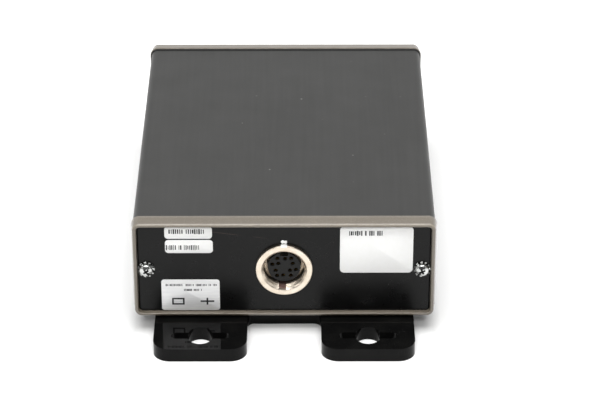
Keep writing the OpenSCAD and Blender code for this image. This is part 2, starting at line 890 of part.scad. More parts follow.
module socket_shell() {
    color("silver") at_end(180) {
        from_to(socket_back, socket_z) difference() {
            round_rect(socket_flange_w, socket_flange_h, socket_flange_r);
            shell_outline(-shell_t / 2);
            at_jackscrews() circle(jack_stud_r + hole_play);
        }
        from_to(socket_back, socket_z + shell_reach) difference() {
            shell_outline(0);
            shell_outline(-shell_t);
        }
    }
}

module socket_insulator() {
    face = socket_z + shell_reach - insulator_recess;
    foot_h = axis_over_board - shell_h / 2;
    color("#26262a") at_end(180) difference() {
        union() {
            from_to(insulator_back, face) shell_outline(-shell_t);
            from_to(insulator_back, socket_back) shell_outline(0);
            translate([-shell_w / 2, -axis_over_board, insulator_back])
                cube([shell_w, foot_h + shell_r, foot_t]);
        }
        for (p = pins) translate([p[0], p[1], 0]) {
            disc(pin_hole_r, face - pin_hole_depth, face + 1);
            disc(pin_r, insulator_back - 1, insulator_back + pin_hold);
        }
    }
}

// Each tail leaves the insulator, turns down and ends under the board; the top row turns last.
module socket_contacts() {
    color("goldenrod") at_end(180) for (p = pins) translate([p[0], p[1], 0]) {
        disc(pin_r, turn_of(p), insulator_back + pin_hold);
        translate([0, 0, turn_of(p)]) {
            sphere(pin_r, $fn = FINE);
            rotate([90, 0, 0]) cylinder(r = pin_r, h = p[1] + axis_over_board + board_t + lead_tail);
        }
    }
}

module socket_jackscrews() {
    color("silver") at_end(180) at_jackscrews() difference() {
        union() {
            hex_prism(jack_flats, face_z, face_z + jack_len);
            disc(jack_stud_r, socket_back - nut_h - screw_tail, face_z);
        }
        disc(jack_hole_r, face_z + jack_len - jack_hole_depth, face_z + jack_len + 1);
    }
}

module socket_nuts() {
    color("silver") at_end(180) at_jackscrews() difference() {
        hex_prism(nut_flats, socket_back - nut_h, socket_back);
        disc(jack_stud_r + thread_play, socket_back - nut_h - 1, socket_back + 1);
    }
}

// Circuit board and what stands on it

module on_board(x, y) {
    translate([x, y, board_top]) children();
}

module circuit_board() {
    color("#1f5a36") difference() {
        translate([0, (board_front + board_rear) / 2, board_z]) linear_extrude(board_t)
            round_rect(board_w, board_len, corner_r);
        at_end(180) for (p = pins) translate([p[0], 0, turn_of(p)]) rotate([90, 0, 0])
            disc(pin_r + fit_play, 0, axis_over_board + board_t + 1);
        for (p = plug_places) translate([p[0], header_turn_y(p), board_z - 1])
            cylinder(r = header_pin_r + fit_play, h = board_t + 2);
        for (p = lead_places) on_board(p[0], p[1]) disc(lead_r + fit_play, -board_t - 1, 1);
    }
}

module power_converter() {
    color("#17171a") on_board(converter_x, converter_y) linear_extrude(converter_h)
        round_rect(converter_w, converter_w, corner_r);
}

// A can with a rolled bead near its foot and a stepped edge round its top.
module capacitor() {
    difference() {
        disc(cap_r, 0, cap_h);
        rotate_extrude() translate([cap_r - bead_depth + bead_r, bead_at]) circle(bead_r, $fn = FINE);
        ring(cap_r + 1, cap_r - cap_step, cap_h - cap_step, cap_h + 1);
    }
}

module capacitors() {
    color("#2b3f66") for (i = [-1:1]) on_board(cap_x, converter_y + i * cap_pitch) capacitor();
}

module amplifier_chips() {
    color("#1b1b1d") for (p = chip_places) on_board(p[0], p[1]) translate([0, 0, chip_gap + chip_h / 2])
        cube([chip_w, chip_l, chip_h], center = true);
}

// Gull-wing legs, eight on each side of a chip.
module chip_legs() {
    color("silver") for (p = chip_places) on_board(p[0], p[1])
        for (side = [0, 180]) for (i = [0:7]) rotate(side) translate([chip_w / 2, (i - 3.5) * leg_pitch, 0])
            rotate([90, 0, 0]) linear_extrude(leg_pitch / 3, center = true) leg_profile();
}

module leg_profile() {
    mid = chip_gap + chip_h / 2;
    knee = leg_reach / 2;
    polygon([
        [0, mid + leg_t / 2], [knee, mid + leg_t / 2], [knee + leg_t, leg_t], [leg_reach, leg_t],
        [leg_reach, 0], [knee, 0], [knee - leg_t, mid - leg_t / 2], [0, mid - leg_t / 2]
    ]);
}

module line_choke() {
    base_h = choke_h * 0.2;
    color("#3a3a3c") on_board(converter_x, choke_y) {
        linear_extrude(base_h) round_rect(choke_w, choke_w, choke_w / 8);
        disc(choke_w * 0.47, base_h / 2, choke_h * 0.9);
        disc(choke_w * 0.35, choke_h / 2, choke_h);
    }
}

module resettable_fuse() {
    color("#c9a227") {
        for (p = fuse_leads) on_board(p[0], p[1]) disc(lead_r, -board_t - lead_tail, fuse_stand + fuse_r);
        on_board(fuse_x, choke_y) translate([0, 0, fuse_stand + fuse_r]) rotate([90, 0, 0])
            cylinder(r = fuse_r, h = fuse_t, center = true);
    }
}

module resistor_networks() {
    color("#b98a3c") {
        for (p = network_leads) on_board(p[0], p[1]) disc(lead_r, -board_t - lead_tail, network_stand + 1);
        for (p = network_places) on_board(p[0], p[1]) translate([0, 0, network_stand + network_h / 2])
            cube([network_t, network_l, network_h], center = true);
    }
}

// Plug, header and wires between the receptacle and the board

// The upper row of header pins turns down behind the lower row.
function header_turn_y(p) = pin_turn_y + (p[1] > 0 ? plug_pitch : 0);

module plug_frame() {
    translate([0, plug_y, plug_z]) rotate([-90, 0, 0]) children();
}

module sensor_plug() {
    color("#ece7da") plug_frame() difference() {
        from_to(0, plug_l) square([plug_w, plug_h], center = true);
        for (p = plug_places) translate([p[0], -p[1], 0]) {
            disc(plug_hole_r, -1, plug_hole_depth);
            disc(header_pin_r + fit_play, plug_l - shroud_overlap, plug_l + 1);
        }
    }
}

module sensor_header() {
    mouth = plug_l - shroud_overlap;
    color("#e4decf") plug_frame() difference() {
        from_to(mouth, plug_l + shroud_base) square([header_w, header_h], center = true);
        from_to(mouth - 1, plug_l)
            square([plug_w + 2 * shroud_play, plug_h + 2 * shroud_play], center = true);
        for (p = plug_places) translate([p[0], -p[1], 0])
            disc(header_pin_r, mouth, plug_l + shroud_base + 1);
    }
}

module header_pins() {
    color("goldenrod") for (p = plug_places) {
        z = plug_z + p[1];
        start = plug_y + plug_l - shroud_overlap + header_pin_inset;
        stop = header_turn_y(p);
        translate([p[0], start, z]) rotate([-90, 0, 0]) cylinder(r = header_pin_r, h = stop - start);
        translate([p[0], stop, z]) sphere(header_pin_r, $fn = FINE);
        translate([p[0], stop, board_z - lead_tail])
            cylinder(r = header_pin_r, h = z - board_z + lead_tail);
    }
}

// A wire runs straight off its tail, slants to its place in the plug and runs straight in.
module wire(from, to) {
    a = from + [0, wire_lead, 0];
    b = to - [0, wire_lead, 0];
    bend = [0, wire_r / 2, 0];
    rod(from, a + bend, wire_r);
    rod(a, b, wire_r - bend_step);
    rod(b - bend, to + [0, plug_hole_depth, 0], wire_r);
}

module rod(from, to, r) {
    d = to - from;
    tilt = acos(d[2] / norm(d));
    heading = atan2(d[1], d[0]);
    translate(from) rotate([0, tilt, heading]) cylinder(r = r, h = norm(d));
}

module sensor_wires() {
    color("#b9b9bd") for (k = [0:11]) wire(
        [contact_places[k][0], -tube_len / 2 - tail_end, axis_z + contact_places[k][1]],
        [plug_places[k][0], plug_y, plug_z + plug_places[k][1]]
    );
}

mounting_plate();
plate_screws();
plate_spacers();
plate_nuts();
enclosure_tube();
front_bezel();
rear_bezel();
front_panel();
rear_panel();
front_screws();
rear_screws();
front_lock_washers();
rear_lock_washers();
front_labels();
receptacle_shell();
receptacle_seal();
receptacle_insert();
receptacle_contacts();
receptacle_retainer();
receptacle_washer();
receptacle_nut();
socket_shell();
socket_insulator();
socket_contacts();
socket_jackscrews();
socket_nuts();
circuit_board();
power_converter();
capacitors();
amplifier_chips();
chip_legs();
line_choke();
resettable_fuse();
resistor_networks();
sensor_header();
header_pins();
sensor_plug();
sensor_wires();
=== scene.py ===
import json
import math
import bmesh
import bpy
from mathutils import Matrix, Vector


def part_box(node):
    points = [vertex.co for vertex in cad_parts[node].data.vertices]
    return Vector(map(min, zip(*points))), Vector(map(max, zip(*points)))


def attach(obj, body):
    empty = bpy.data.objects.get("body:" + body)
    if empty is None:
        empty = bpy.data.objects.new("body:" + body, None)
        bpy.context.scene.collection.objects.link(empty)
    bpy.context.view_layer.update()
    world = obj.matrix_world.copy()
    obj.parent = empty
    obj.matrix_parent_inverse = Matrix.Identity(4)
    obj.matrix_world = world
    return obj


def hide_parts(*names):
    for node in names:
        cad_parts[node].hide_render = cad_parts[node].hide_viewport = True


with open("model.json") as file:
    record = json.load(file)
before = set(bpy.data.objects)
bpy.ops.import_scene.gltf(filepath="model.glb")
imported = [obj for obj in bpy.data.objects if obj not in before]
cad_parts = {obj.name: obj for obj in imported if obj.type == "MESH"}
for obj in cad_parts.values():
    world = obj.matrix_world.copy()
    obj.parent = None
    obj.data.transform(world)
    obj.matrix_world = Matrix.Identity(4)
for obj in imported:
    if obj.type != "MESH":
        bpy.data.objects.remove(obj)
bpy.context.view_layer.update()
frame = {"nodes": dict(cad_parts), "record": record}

mm = 0.001

# places that everything else hangs on, all read from the frame
tubeLow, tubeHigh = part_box("enclosure_tube")
tubeWidth, tubeHeight = tubeHigh.x - tubeLow.x, tubeHigh.z - tubeLow.z
axisZ = (tubeLow.z + tubeHigh.z) / 2
panelDepth = tubeLow.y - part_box("front_panel")[0].y
bezelDepth = tubeLow.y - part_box("front_bezel")[0].y
ends = (("front", 0), ("rear", 180))  # each end's name, and its turn in degrees


def endFrame(turn):
    # z runs out of the tube's end and y is up, as someone facing that end sees it
    return (Matrix.Rotation(math.radians(turn), 4, "Z")
            @ Matrix.Translation((0, tubeLow.y, axisZ))
            @ Matrix.Rotation(math.radians(90), 4, "X"))


def linearColour(hexText):
    # an sRGB hex text as linear colour
    parts = [int(hexText[i:i + 2], 16) / 255 for i in (1, 3, 5)]
    return tuple(p / 12.92 if p <= 0.04045 else ((p + 0.055) / 1.055) ** 2.4 for p in parts) + (1,)


def addNode(tree, kind, links=None, **settings):
    # links holds what goes into each input: another node's output, or a plain value
    node = tree.nodes.new(kind)
    for key, value in settings.items():
        setattr(node, key, value)
    for key, value in (links or {}).items():
        if isinstance(value, bpy.types.NodeSocket):
            tree.links.new(value, node.inputs[key])
        else:
            node.inputs[key].default_value = value
    return node


def startMaterial(name, colour, stretch=(1, 1, 1), **sockets):
    # constants go straight on the shader's own sockets; patterns lie on the coordinates given back
    material = bpy.data.materials.new(name)
    material.use_nodes = True
    tree = material.node_tree
    shader = tree.nodes["Principled BSDF"]
    shader.inputs["Base Color"].default_value = linearColour(colour)
    for key, value in sockets.items():
        shader.inputs[key.replace("_", " ")].default_value = value
    return material, tree, laidOut(tree, stretch=stretch)


def laidOut(tree, centre=(0, 0, 0), stretch=(1, 1, 1)):
    # a piece's own coordinates in metres, moved to a centre and stretched
    coords = addNode(tree, "ShaderNodeTexCoord")
    return addNode(tree, "ShaderNodeMapping", {
        "Vector": coords.outputs["Object"], "Scale": stretch,
        "Location": tuple(-c * s for c, s in zip(centre, stretch))}).outputs["Vector"]


def patches(tree, space, sizeMm, low=0.0, high=1.0, detail=3, edges=(0.3, 0.7)):
    # a number that drifts between low and high in patches of a real size
    noise = addNode(tree, "ShaderNodeTexNoise", {
        "Vector": space, "Scale": 1 / (sizeMm * mm), "Detail": detail})
    return addNode(tree, "ShaderNodeMapRange", {
        "Value": noise.outputs["Fac"], "From Min": edges[0], "From Max": edges[1],
        "To Min": low, "To Max": high}).outputs["Result"]


def painted(tree, ground, *coats):
    # colours laid one over the other: the ground, then each coat as far as its share lets it show
    colour = linearColour(ground)
    for share, coat in coats:
        colour = addNode(tree, "ShaderNodeMix", {0: share, 6: colour, 7: linearColour(coat)},
                         data_type="RGBA").outputs[2]
    return colour


def dress(tree, colour, shine, relief, depthMm=0.02, strength=0.3):
    # joins what a material varies to its shader: colour, roughness and fine relief
    shader = tree.nodes["Principled BSDF"]
    bump = addNode(tree, "ShaderNodeBump", {
        "Height": relief, "Strength": strength, "Distance": depthMm * mm})
    tree.links.new(colour, shader.inputs["Base Color"])
    tree.links.new(shine, shader.inputs["Roughness"])
    tree.links.new(bump.outputs["Normal"], shader.inputs["Normal"])


dust = {
    "spacing": 6 * mm,  # between the places where a speck may lie
    "radius": 0.06,     # of a speck, as a share of the spacing
    "kept": 0.45,       # share of the places that have one
}


def anodisedAluminium():
    # extruded, etched and anodised dark grey: a dull even sheen, faint draw lines, specks of dust
    material, tree, space = startMaterial(
        "anodisedAluminium", "#2e2e2d", Roughness=0.42, IOR=1.5, Specular_IOR_Level=0.32)
    along = laidOut(tree, stretch=(1, 0.03, 1))
    cells = addNode(tree, "ShaderNodeTexVoronoi", {"Vector": space, "Scale": 1 / dust["spacing"]})
    near = addNode(tree, "ShaderNodeMath", {
        0: cells.outputs["Distance"], 1: dust["radius"]}, operation="LESS_THAN")
    chance = addNode(tree, "ShaderNodeSeparateColor", {"Color": cells.outputs["Color"]})
    kept = addNode(tree, "ShaderNodeMath", {
        0: chance.outputs[0], 1: dust["kept"]}, operation="LESS_THAN")
    speck = addNode(tree, "ShaderNodeMath", {
        0: near.outputs[0], 1: kept.outputs[0]}, operation="MULTIPLY")
    faint = addNode(tree, "ShaderNodeMath", {
        0: speck.outputs[0], 1: chance.outputs[1]}, operation="MULTIPLY")
    colour = painted(tree, "#2c2c2b", (patches(tree, space, 28), "#30302f"),
                     (patches(tree, along, 1.6, 0, 0.04, 2), "#6b6b69"),
                     (faint.outputs[0], "#7c7c78"))
    dress(tree, colour, patches(tree, space, 12, 0.4, 0.45), patches(tree, space, 0.45), 0.015, 0.3)
    return material


def satinEnamel():
    # sprayed and lacquered: warm grey, finely flecked, with a painted highlight: paler on its
    # upward-tilted edges, where the lamps catch them
    material, tree, space = startMaterial(
        "satinEnamel", "#655d51", Roughness=0.4, IOR=1.5, Coat_Weight=0.75, Coat_Roughness=0.18)
    # painted highlight: the paler colour, broken up in patches, on the edges the bezel's mesh marks
    # as tilted up
    edgeHighlight = addNode(tree, "ShaderNodeAttribute", attribute_name="edgeHighlight")
    highlightShare = addNode(tree, "ShaderNodeMath", {
        0: edgeHighlight.outputs["Fac"], 1: patches(tree, space, 2.5, 0.35, 0.6)}, operation="MULTIPLY")
    colour = painted(tree, "#655d51", (patches(tree, space, 9), "#6b6357"),
                     (patches(tree, space, 0.5, 0, 0.35, 2, (0.5, 0.75)), "#867e72"),
                     (highlightShare.outputs[0], "#b3aa9b"))
    dress(tree, colour, patches(tree, space, 5, 0.34, 0.46, 2), patches(tree, space, 0.7, detail=2))
    return material


def castAcrylic():
    # polished black sheet: nearly black, mirror bright, a few handling smudges
    material, tree, space = startMaterial(
        "castAcrylic", "#0d0d0d", Roughness=0.05, IOR=1.49, Specular_IOR_Level=0.1)
    colour = painted(tree, "#0c0c0c", (patches(tree, space, 7, edges=(0.4, 0.8)), "#141413"))
    dress(tree, colour, patches(tree, space, 7, 0.03, 0.14, 4, (0.45, 0.8)),
          patches(tree, space, 14, detail=1), 0.02, 0.06)
    return material


rubMark = {
    "height": 11.45 * mm,            # over the tube's axis at the panel's middle
    "slope": -0.136,
    "fade": (0.05 * mm, 0.22 * mm),  # away from its middle: full to here, gone by there
    "strength": 0.4,
    "end": (-4 * mm, 2 * mm),        # along the panel: full to here, gone by there
}


def panelEnamel():
    # baked black enamel on sheet: a blurred shine and a hairline rub mark over the left half
    material, tree, space = startMaterial(
        "panelEnamel", "#0a0a0a", Roughness=0.29, IOR=1.5, Specular_IOR_Level=0.19)
    place = addNode(tree, "ShaderNodeSeparateXYZ", {0: space})
    rise = addNode(tree, "ShaderNodeMath", {
        0: place.outputs["X"], 1: rubMark["slope"]}, operation="MULTIPLY")
    level = addNode(tree, "ShaderNodeMath", {
        0: rise.outputs[0], 1: axisZ + rubMark["height"]}, operation="ADD")
    off = addNode(tree, "ShaderNodeMath", {
        0: place.outputs["Z"], 1: level.outputs[0]}, operation="SUBTRACT")
    gap = addNode(tree, "ShaderNodeMath", {0: off.outputs[0]}, operation="ABSOLUTE")
    line = addNode(tree, "ShaderNodeMapRange", {
        "Value": gap.outputs[0], "From Min": rubMark["fade"][0], "From Max": rubMark["fade"][1],
        "To Min": rubMark["strength"], "To Max": 0})
    left = addNode(tree, "ShaderNodeMapRange", {
        "Value": place.outputs["X"], "From Min": rubMark["end"][0], "From Max": rubMark["end"][1],
        "To Min": 1, "To Max": 0})
    rub = addNode(tree, "ShaderNodeMath", {
        0: line.outputs[0], 1: left.outputs[0]}, operation="MULTIPLY")
    broken = addNode(tree, "ShaderNodeMath", {
        0: rub.outputs[0], 1: patches(tree, space, 6, edges=(0.4, 0.6))}, operation="MULTIPLY")
    colour = painted(tree, "#080808", (patches(tree, space, 11), "#0b0b0b"),
                     (broken.outputs[0], "#4d403c"))
    dress(tree, colour, patches(tree, space, 4, 0.26, 0.32),
          patches(tree, space, 0.8, detail=2), 0.015, 0.2)
    return material


def zincPlate():
    # bright zinc on steel: mirror-like with a slight cloud
    material, tree, space = startMaterial("zincPlate", "#c8c9c8", Metallic=1.0, Roughness=0.18)
    dress(tree, painted(tree, "#b4b5b4", (patches(tree, space, 1.5), "#d4d5d3")),
          patches(tree, space, 1.5, 0.12, 0.26), patches(tree, space, 0.3, detail=2), 0.01, 0.25)
    return material


def lathe(tree):
    # coordinates that change only with the distance from the socket's axis and along it
    place = addNode(tree, "ShaderNodeSeparateXYZ", {0: laidOut(tree, (0, 0, axisZ))})
    flat = addNode(tree, "ShaderNodeCombineXYZ", {0: place.outputs["X"], 1: place.outputs["Z"]})
    reach = addNode(tree, "ShaderNodeVectorMath", {0: flat.outputs[0]}, operation="LENGTH")
    return addNode(tree, "ShaderNodeCombineXYZ", {
        0: reach.outputs["Value"], 1: place.outputs["Y"]}).outputs[0]


def satinNickel():
    # turned brass under dull nickel: creamy, with the lathe's fine rings round the socket's axis
    material, tree, space = startMaterial("satinNickel", "#d9cdbd", Metallic=1.0, Roughness=0.3)
    rings = lathe(tree)
    dress(tree, painted(tree, "#d2c5b3", (patches(tree, space, 3), "#e1d6c7")),
          patches(tree, rings, 0.16, 0.24, 0.38), patches(tree, rings, 0.16), 0.01, 0.3)
    return material


def grooveReflectionMetal():
    # the key groove's floor: a dull reddish metal, a painted reflection of the brown the deep
    # groove shows
    material, tree, space = startMaterial("grooveReflectionMetal", "#9a7c72", Metallic=0.6, Roughness=0.55)
    dress(tree, painted(tree, "#8c6d64", (patches(tree, space, 1), "#a98d83")),
          patches(tree, space, 0.5, 0.45, 0.65), patches(tree, space, 0.2, detail=2), 0.01, 0.3)
    return material


def shadeDarkenedGold():
    # flash gold over nickel, darkened as painted shade for contacts sitting deep in their holes:
    # warm and fairly dark
    material, tree, space = startMaterial("shadeDarkenedGold", "#94763c", Metallic=1.0, Roughness=0.35)
    dress(tree, painted(tree, "#886a34", (patches(tree, space, 0.6), "#a08246")),
          patches(tree, space, 0.6, 0.3, 0.42), patches(tree, space, 0.6), 0.005, 0.2)
    return material


def moulded(name, dark, light, roughLow, roughHigh, sizeMm=0.5, gloss=0.5):
    # injection moulded: the tool's fine spark texture breaks up the shine
    material, tree, space = startMaterial(
        name, dark, Roughness=roughLow, IOR=1.5, Specular_IOR_Level=gloss)
    cloudMm = 8 * sizeMm
    dress(tree, painted(tree, dark, (patches(tree, space, cloudMm), light)),
          patches(tree, space, cloudMm, roughLow, roughHigh),
          patches(tree, space, sizeMm, detail=2))
    return material


def silverFilm():
    # metallised polyester: pale, part mirror, brushed along its length
    material, tree, space = startMaterial(
        "silverFilm", "#e6e6e6", (0.04, 1, 1), Metallic=0.15, Roughness=0.34)
    fine = patches(tree, space, 0.25)
    dress(tree, painted(tree, "#e0e0e1", (fine, "#efefee")),
          patches(tree, space, 0.25, 0.3, 0.42), fine, 0.004, 0.3)
    return material


def solderMask():
    # green lacquer over copper tracks, which show as paler raised paths
    material, tree, space = startMaterial("solderMask", "#14502f", Roughness=0.3, IOR=1.5)
    tracks = addNode(tree, "ShaderNodeTexBrick", {
        "Vector": space, "Scale": 1 / (9 * mm), "Mortar Size": 0.05, "Color1": (0, 0, 0, 1),
        "Color2": (0.1, 0.1, 0.1, 1), "Mortar": (1, 1, 1, 1)}).outputs["Color"]
    dress(tree, painted(tree, "#14502f", (tracks, "#2a7a49")),
          patches(tree, space, 6, 0.25, 0.4, 2), tracks, 0.03, 0.5)
    return material


# what the record's slots and the scene's own pieces are finished in
finishes = {
    "tube": anodisedAluminium(),
    "bezel": satinEnamel(),
    "acrylic": castAcrylic(),
    "panel": panelEnamel(),
    "steel": zincPlate(),
    "nickel": satinNickel(),
    "gold": shadeDarkenedGold(),
    "groove": grooveReflectionMetal(),
    "silver": silverFilm(),
    "board": solderMask(),
    # a low, even shine
    "insulator": moulded("blackNylon", "#0e0e0e", "#151514", 0.32, 0.42, 0.5, 0.23),
    # painted shade: a near-black, nearly dull fill for the bottom of the screws' cross recesses
    "paintedShade": moulded("recessShadeBlack", "#080808", "#0f0f0f", 0.55, 0.7, 0.3, 0.2),
    # waxy and a little yellow
    "ivory": moulded("ivoryNylon", "#e2dccb", "#ece7da", 0.4, 0.55),
    # dull, with a bloom
    "seal": moulded("nitrileRubber", "#131313", "#1b1b1b", 0.6, 0.75, 0.3),
    # clean white with hardly any shine
    "label": moulded("vinylFilm", "#f8f8f6", "#fafaf9", 0.5, 0.6, 0.2, 0.1),
    # dull charcoal, laid thin
    "ink": moulded("printInk", "#1c1c1e", "#2b2b2d", 0.5, 0.65, 0.2),
    # dabbed on, half matt
    "paint": moulded("whitePaint", "#efefec", "#fafaf8", 0.45, 0.6, 0.6),
    # sandy and dull
    "part_black": moulded("epoxyMoulding", "#151517", "#202023", 0.5, 0.65, 0.3),
    # shrunk tight and shiny
    "part_blue": moulded("shrinkSleeve", "#233558", "#2b4070", 0.25, 0.35, 0.8),
    # glossy, with a slow ripple
    "part_amber": moulded("dippedResin", "#b98a24", "#cfa33a", 0.25, 0.4, 0.8),
    # smooth pale grey
    "wire": moulded("wireInsulation", "#a9a9ae", "#bcbcc0", 0.4, 0.5, 0.4),
}
print("materials made:", len(finishes))

# the pieces that come straight from the frame
for entry in frame["record"]["subparts"]:
    for place in frame["nodes"][entry["node"]].material_slots:
        place.material = finishes[entry["material_slot"]]


def linked(name, data):
    # a new object in the scene
    thing = bpy.data.objects.new(name, data)
    bpy.context.scene.collection.objects.link(thing)
    return thing


def plainMesh(thing):
    # what an object's modifiers or curve make of it
    depsgraph = bpy.context.evaluated_depsgraph_get()
    return bpy.data.meshes.new_from_object(thing.evaluated_get(depsgraph))


def pointAt(radius, angle, height):
    # a point by its distance from the axis and its angle in radians
    return (radius * math.cos(angle), radius * math.sin(angle), height)


def quarter(steps):
    # a rounded edge in steps: how far short of each face it is, as shares of its radius
    angles = [math.radians(90 * i / steps) for i in range(steps + 1)]
    return [(1 - math.sin(a), 1 - math.cos(a)) for a in angles]


def ringLoop(width, height, radius, steps):
    # a rounded rectangle's points, anticlockwise, the same number for any size
    points = []
    for corner, (sx, sy) in enumerate(((1, 1), (-1, 1), (-1, -1), (1, -1))):
        for i in range(steps + 1):
            a = math.radians(90 * (corner + i / steps))
            points.append((sx * (width / 2 - radius) + radius * math.cos(a),
                           sy * (height / 2 - radius) + radius * math.sin(a)))
    return points


def skin(bm, loops, closed=True):
    # quads between rings of the same length; closed joins the last ring to the first
    rings = [[bm.verts.new(p) for p in loop] for loop in loops]
    count = len(rings[0])
    last = len(rings) if closed else len(rings) - 1
    for k in range(last):
        a, b = rings[k], rings[(k + 1) % len(rings)]
        for i in range(count):
            j = (i + 1) % count
            bm.faces.new((a[i], a[j], b[j], b[i]))
    return rings


def solidBar(bm, loops):
    # a skin with both ends filled
    rings = skin(bm, loops, False)
    bm.faces.new(rings[-1])
    bm.faces.new(list(reversed(rings[0])))


def meshFrom(name, bm, clean=True):
    # built faces as a mesh; clean merges doubles and turns the faces outwards
    if clean:
        bmesh.ops.remove_doubles(bm, verts=bm.verts, dist=1e-7)
        bmesh.ops.recalc_face_normals(bm, faces=bm.faces)
    mesh = bpy.data.meshes.new(name)
    bm.to_mesh(mesh)
    bm.free()
    return mesh


def ownPiece(name, mesh, finish, place, angle=35):
    # a piece with its place in its mesh, smooth but for edges sharper than the angle
    mesh.transform(place)
    for face in mesh.polygons:
        face.use_smooth = True
    mesh.set_sharp_from_angle(angle=math.radians(angle))
    mesh.materials.clear()
    mesh.materials.append(finishes[finish])
    return linked(name, mesh)


def meshPiece(name, bm, finish, place, angle=35):
    # the same, from built faces
    return ownPiece(name, meshFrom(name, bm), finish, place, angle)


def settle(piece, slotName, *replaced):
    # hands a finished piece to the frame, in the stead of the nodes named
    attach(piece, "root")
    if replaced:
        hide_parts(*replaced)


def nodeTree(name, inputs):
    # an empty Geometry Nodes tree with named inputs
    tree = bpy.data.node_groups.new(name, "GeometryNodeTree")
    tree.interface.new_socket("Geometry", in_out="INPUT", socket_type="NodeSocketGeometry")
    for label, value in inputs.items():
        kind = "NodeSocketInt" if isinstance(value, int) else "NodeSocketFloat"
        tree.interface.new_socket(label, in_out="INPUT", socket_type=kind).default_value = value
    tree.interface.new_socket("Geometry", in_out="OUTPUT", socket_type="NodeSocketGeometry")
    return tree, addNode(tree, "NodeGroupInput").outputs


def closeTree(tree, geometry, finish):
    # ends a tree in real geometry with its material
    real = addNode(tree, "GeometryNodeRealizeInstances", {"Geometry": geometry})
    coated = addNode(tree, "GeometryNodeSetMaterial", {
        "Geometry": real.outputs[0], "Material": finishes[finish]})
    addNode(tree, "NodeGroupOutput", {"Geometry": coated.outputs[0]})
    return tree


def grow(name, tree, values, points, finish, place, angle=35):
    # runs a tree over some points and keeps the plain mesh
    seed = bpy.data.meshes.new(name + "Points")
    seed.from_pydata(points, [], [])
    carrier = linked(name + "Carrier", seed)
    modifier = carrier.modifiers.new("grow", "NODES")
    modifier.node_group = tree
    for item in tree.interface.items_tree:
        if item.in_out == "INPUT" and item.name in values:
            modifier[item.identifier] = values[item.name]
    mesh = plainMesh(carrier)
    carrier.modifiers.remove(modifier)
    bpy.data.objects.remove(carrier)
    return ownPiece(name, mesh, finish, place, angle)


# End bezels: rings of a rounded rectangle, taken along the bezel's section

bezel = {
    "edgeRadius": 2.5 * mm,    # of the face's outline
    "leastRadius": 0.1 * mm,   # corners never get sharper than this
    "flare": 0.55 * mm,        # the back edge stands this far proud
    "draftRings": (0.35, 0.7),  # extra rings along the drafted side, as shares of the depth
    "rim": 1.3 * mm,           # face of the rim
    "frontRound": 0.9 * mm,    # outer front edge
    "innerRound": 0.25 * mm,   # edge of the window
    "innerWiden": 0.6,         # how much of that round the window's corners widen by
    "backRound": 0.15 * mm,    # edge over the tube
    "shadeRing": 0.4 * mm,        # thickness of the black ring of painted shade between the tube's end and the bezel
    "shadeRingProud": 0.32 * mm,
    "shadeRingCreep": {"front": 0.02 * mm, "rear": 0.4 * mm},  # how far it reaches over the tube; the rear's wider reach widens the painted shade line there
    "windowRadius": 1.5 * mm,
    "web": 2.4 * mm,           # web behind the panel
    "webReach": 2.2 * mm,
    "cornerSteps": 10,
    "highlightTilt": 40,             # surfaces tilted up by these degrees get the most painted highlight
    "highlightReach": 38,            # and those this many degrees away not at all
    "highlightOut": 0.2,             # nor those that look out of the tube's end less than this
}


def tubeRings(section):
    # a ring round the tube for each inset, height and corner radius
    return [[(x, y, height) for x, y in ringLoop(
        tubeWidth - 2 * inset, tubeHeight - 2 * inset, radius, bezel["cornerSteps"])]
        for inset, height, radius in section]


def bezelPiece(name, turn):
    b = bezel
    outside = []  # inset from the face's outline, and height
    for near, far in quarter(3):
        outside.append((-b["flare"] + b["backRound"] * near, b["shadeRing"] + b["backRound"] * far))
    slope = b["flare"] / (bezelDepth - b["frontRound"])
    for height in [share * bezelDepth for share in b["draftRings"]]:
        outside.append((-b["flare"] + slope * height, height))
    for near, far in quarter(6):
        outside.append((b["frontRound"] * far, bezelDepth - b["frontRound"] * near))
    section = [(inset, height, max(b["edgeRadius"] - inset, b["leastRadius"]))
               for inset, height in outside]
    for near, far in quarter(4):
        inset = b["rim"] - b["innerRound"] * near
        section.append((inset, bezelDepth - b["innerRound"] * far,
                        b["windowRadius"] + (b["rim"] - inset) * b["innerWiden"]))
    section.append((b["rim"], b["web"], b["windowRadius"]))
    section.append((b["rim"] + b["webReach"], b["web"], b["windowRadius"]))
    section.append((b["rim"] + b["webReach"], b["shadeRing"], b["windowRadius"]))
    bm = bmesh.new()
    skin(bm, tubeRings(section))
    piece = meshPiece(name, bm, "bezel", endFrame(turn))
    # painted highlight: each point's share of the paler edge colour, from how far its normal tilts
    # up
    edgeHighlight = piece.data.attributes.new("edgeHighlight", "FLOAT", "POINT")
    for vertex, value in zip(piece.data.vertices, edgeHighlight.data):
        up, out = vertex.normal.z, abs(vertex.normal.y)
        away = abs(math.degrees(math.atan2(up, out)) - b["highlightTilt"])
        value.value = max(0, 1 - away / b["highlightReach"]) if out > b["highlightOut"] else 0
    return piece


def shadeRingPiece(name, turn, creep):
    # a black ring of painted shade between the tube's end and the bezel, standing in for the shadow
    # gap there, with a lip over the tube's edge
    b = bezel
    soft = b["shadeRing"] / 4
    outer, inner = -b["shadeRingProud"], b["rim"] + b["webReach"]
    section = [(inner, 0), (0.0, 0), (0.0, -creep), (outer + soft, -creep), (outer, soft - creep),
               (outer, b["shadeRing"] - soft), (outer + soft, b["shadeRing"]), (inner, b["shadeRing"])]
    bm = bmesh.new()
    skin(bm, tubeRings([(inset, height, max(b["edgeRadius"] - inset, b["windowRadius"]))
                        for inset, height in section]))
    return meshPiece(name, bm, "seal", endFrame(turn))


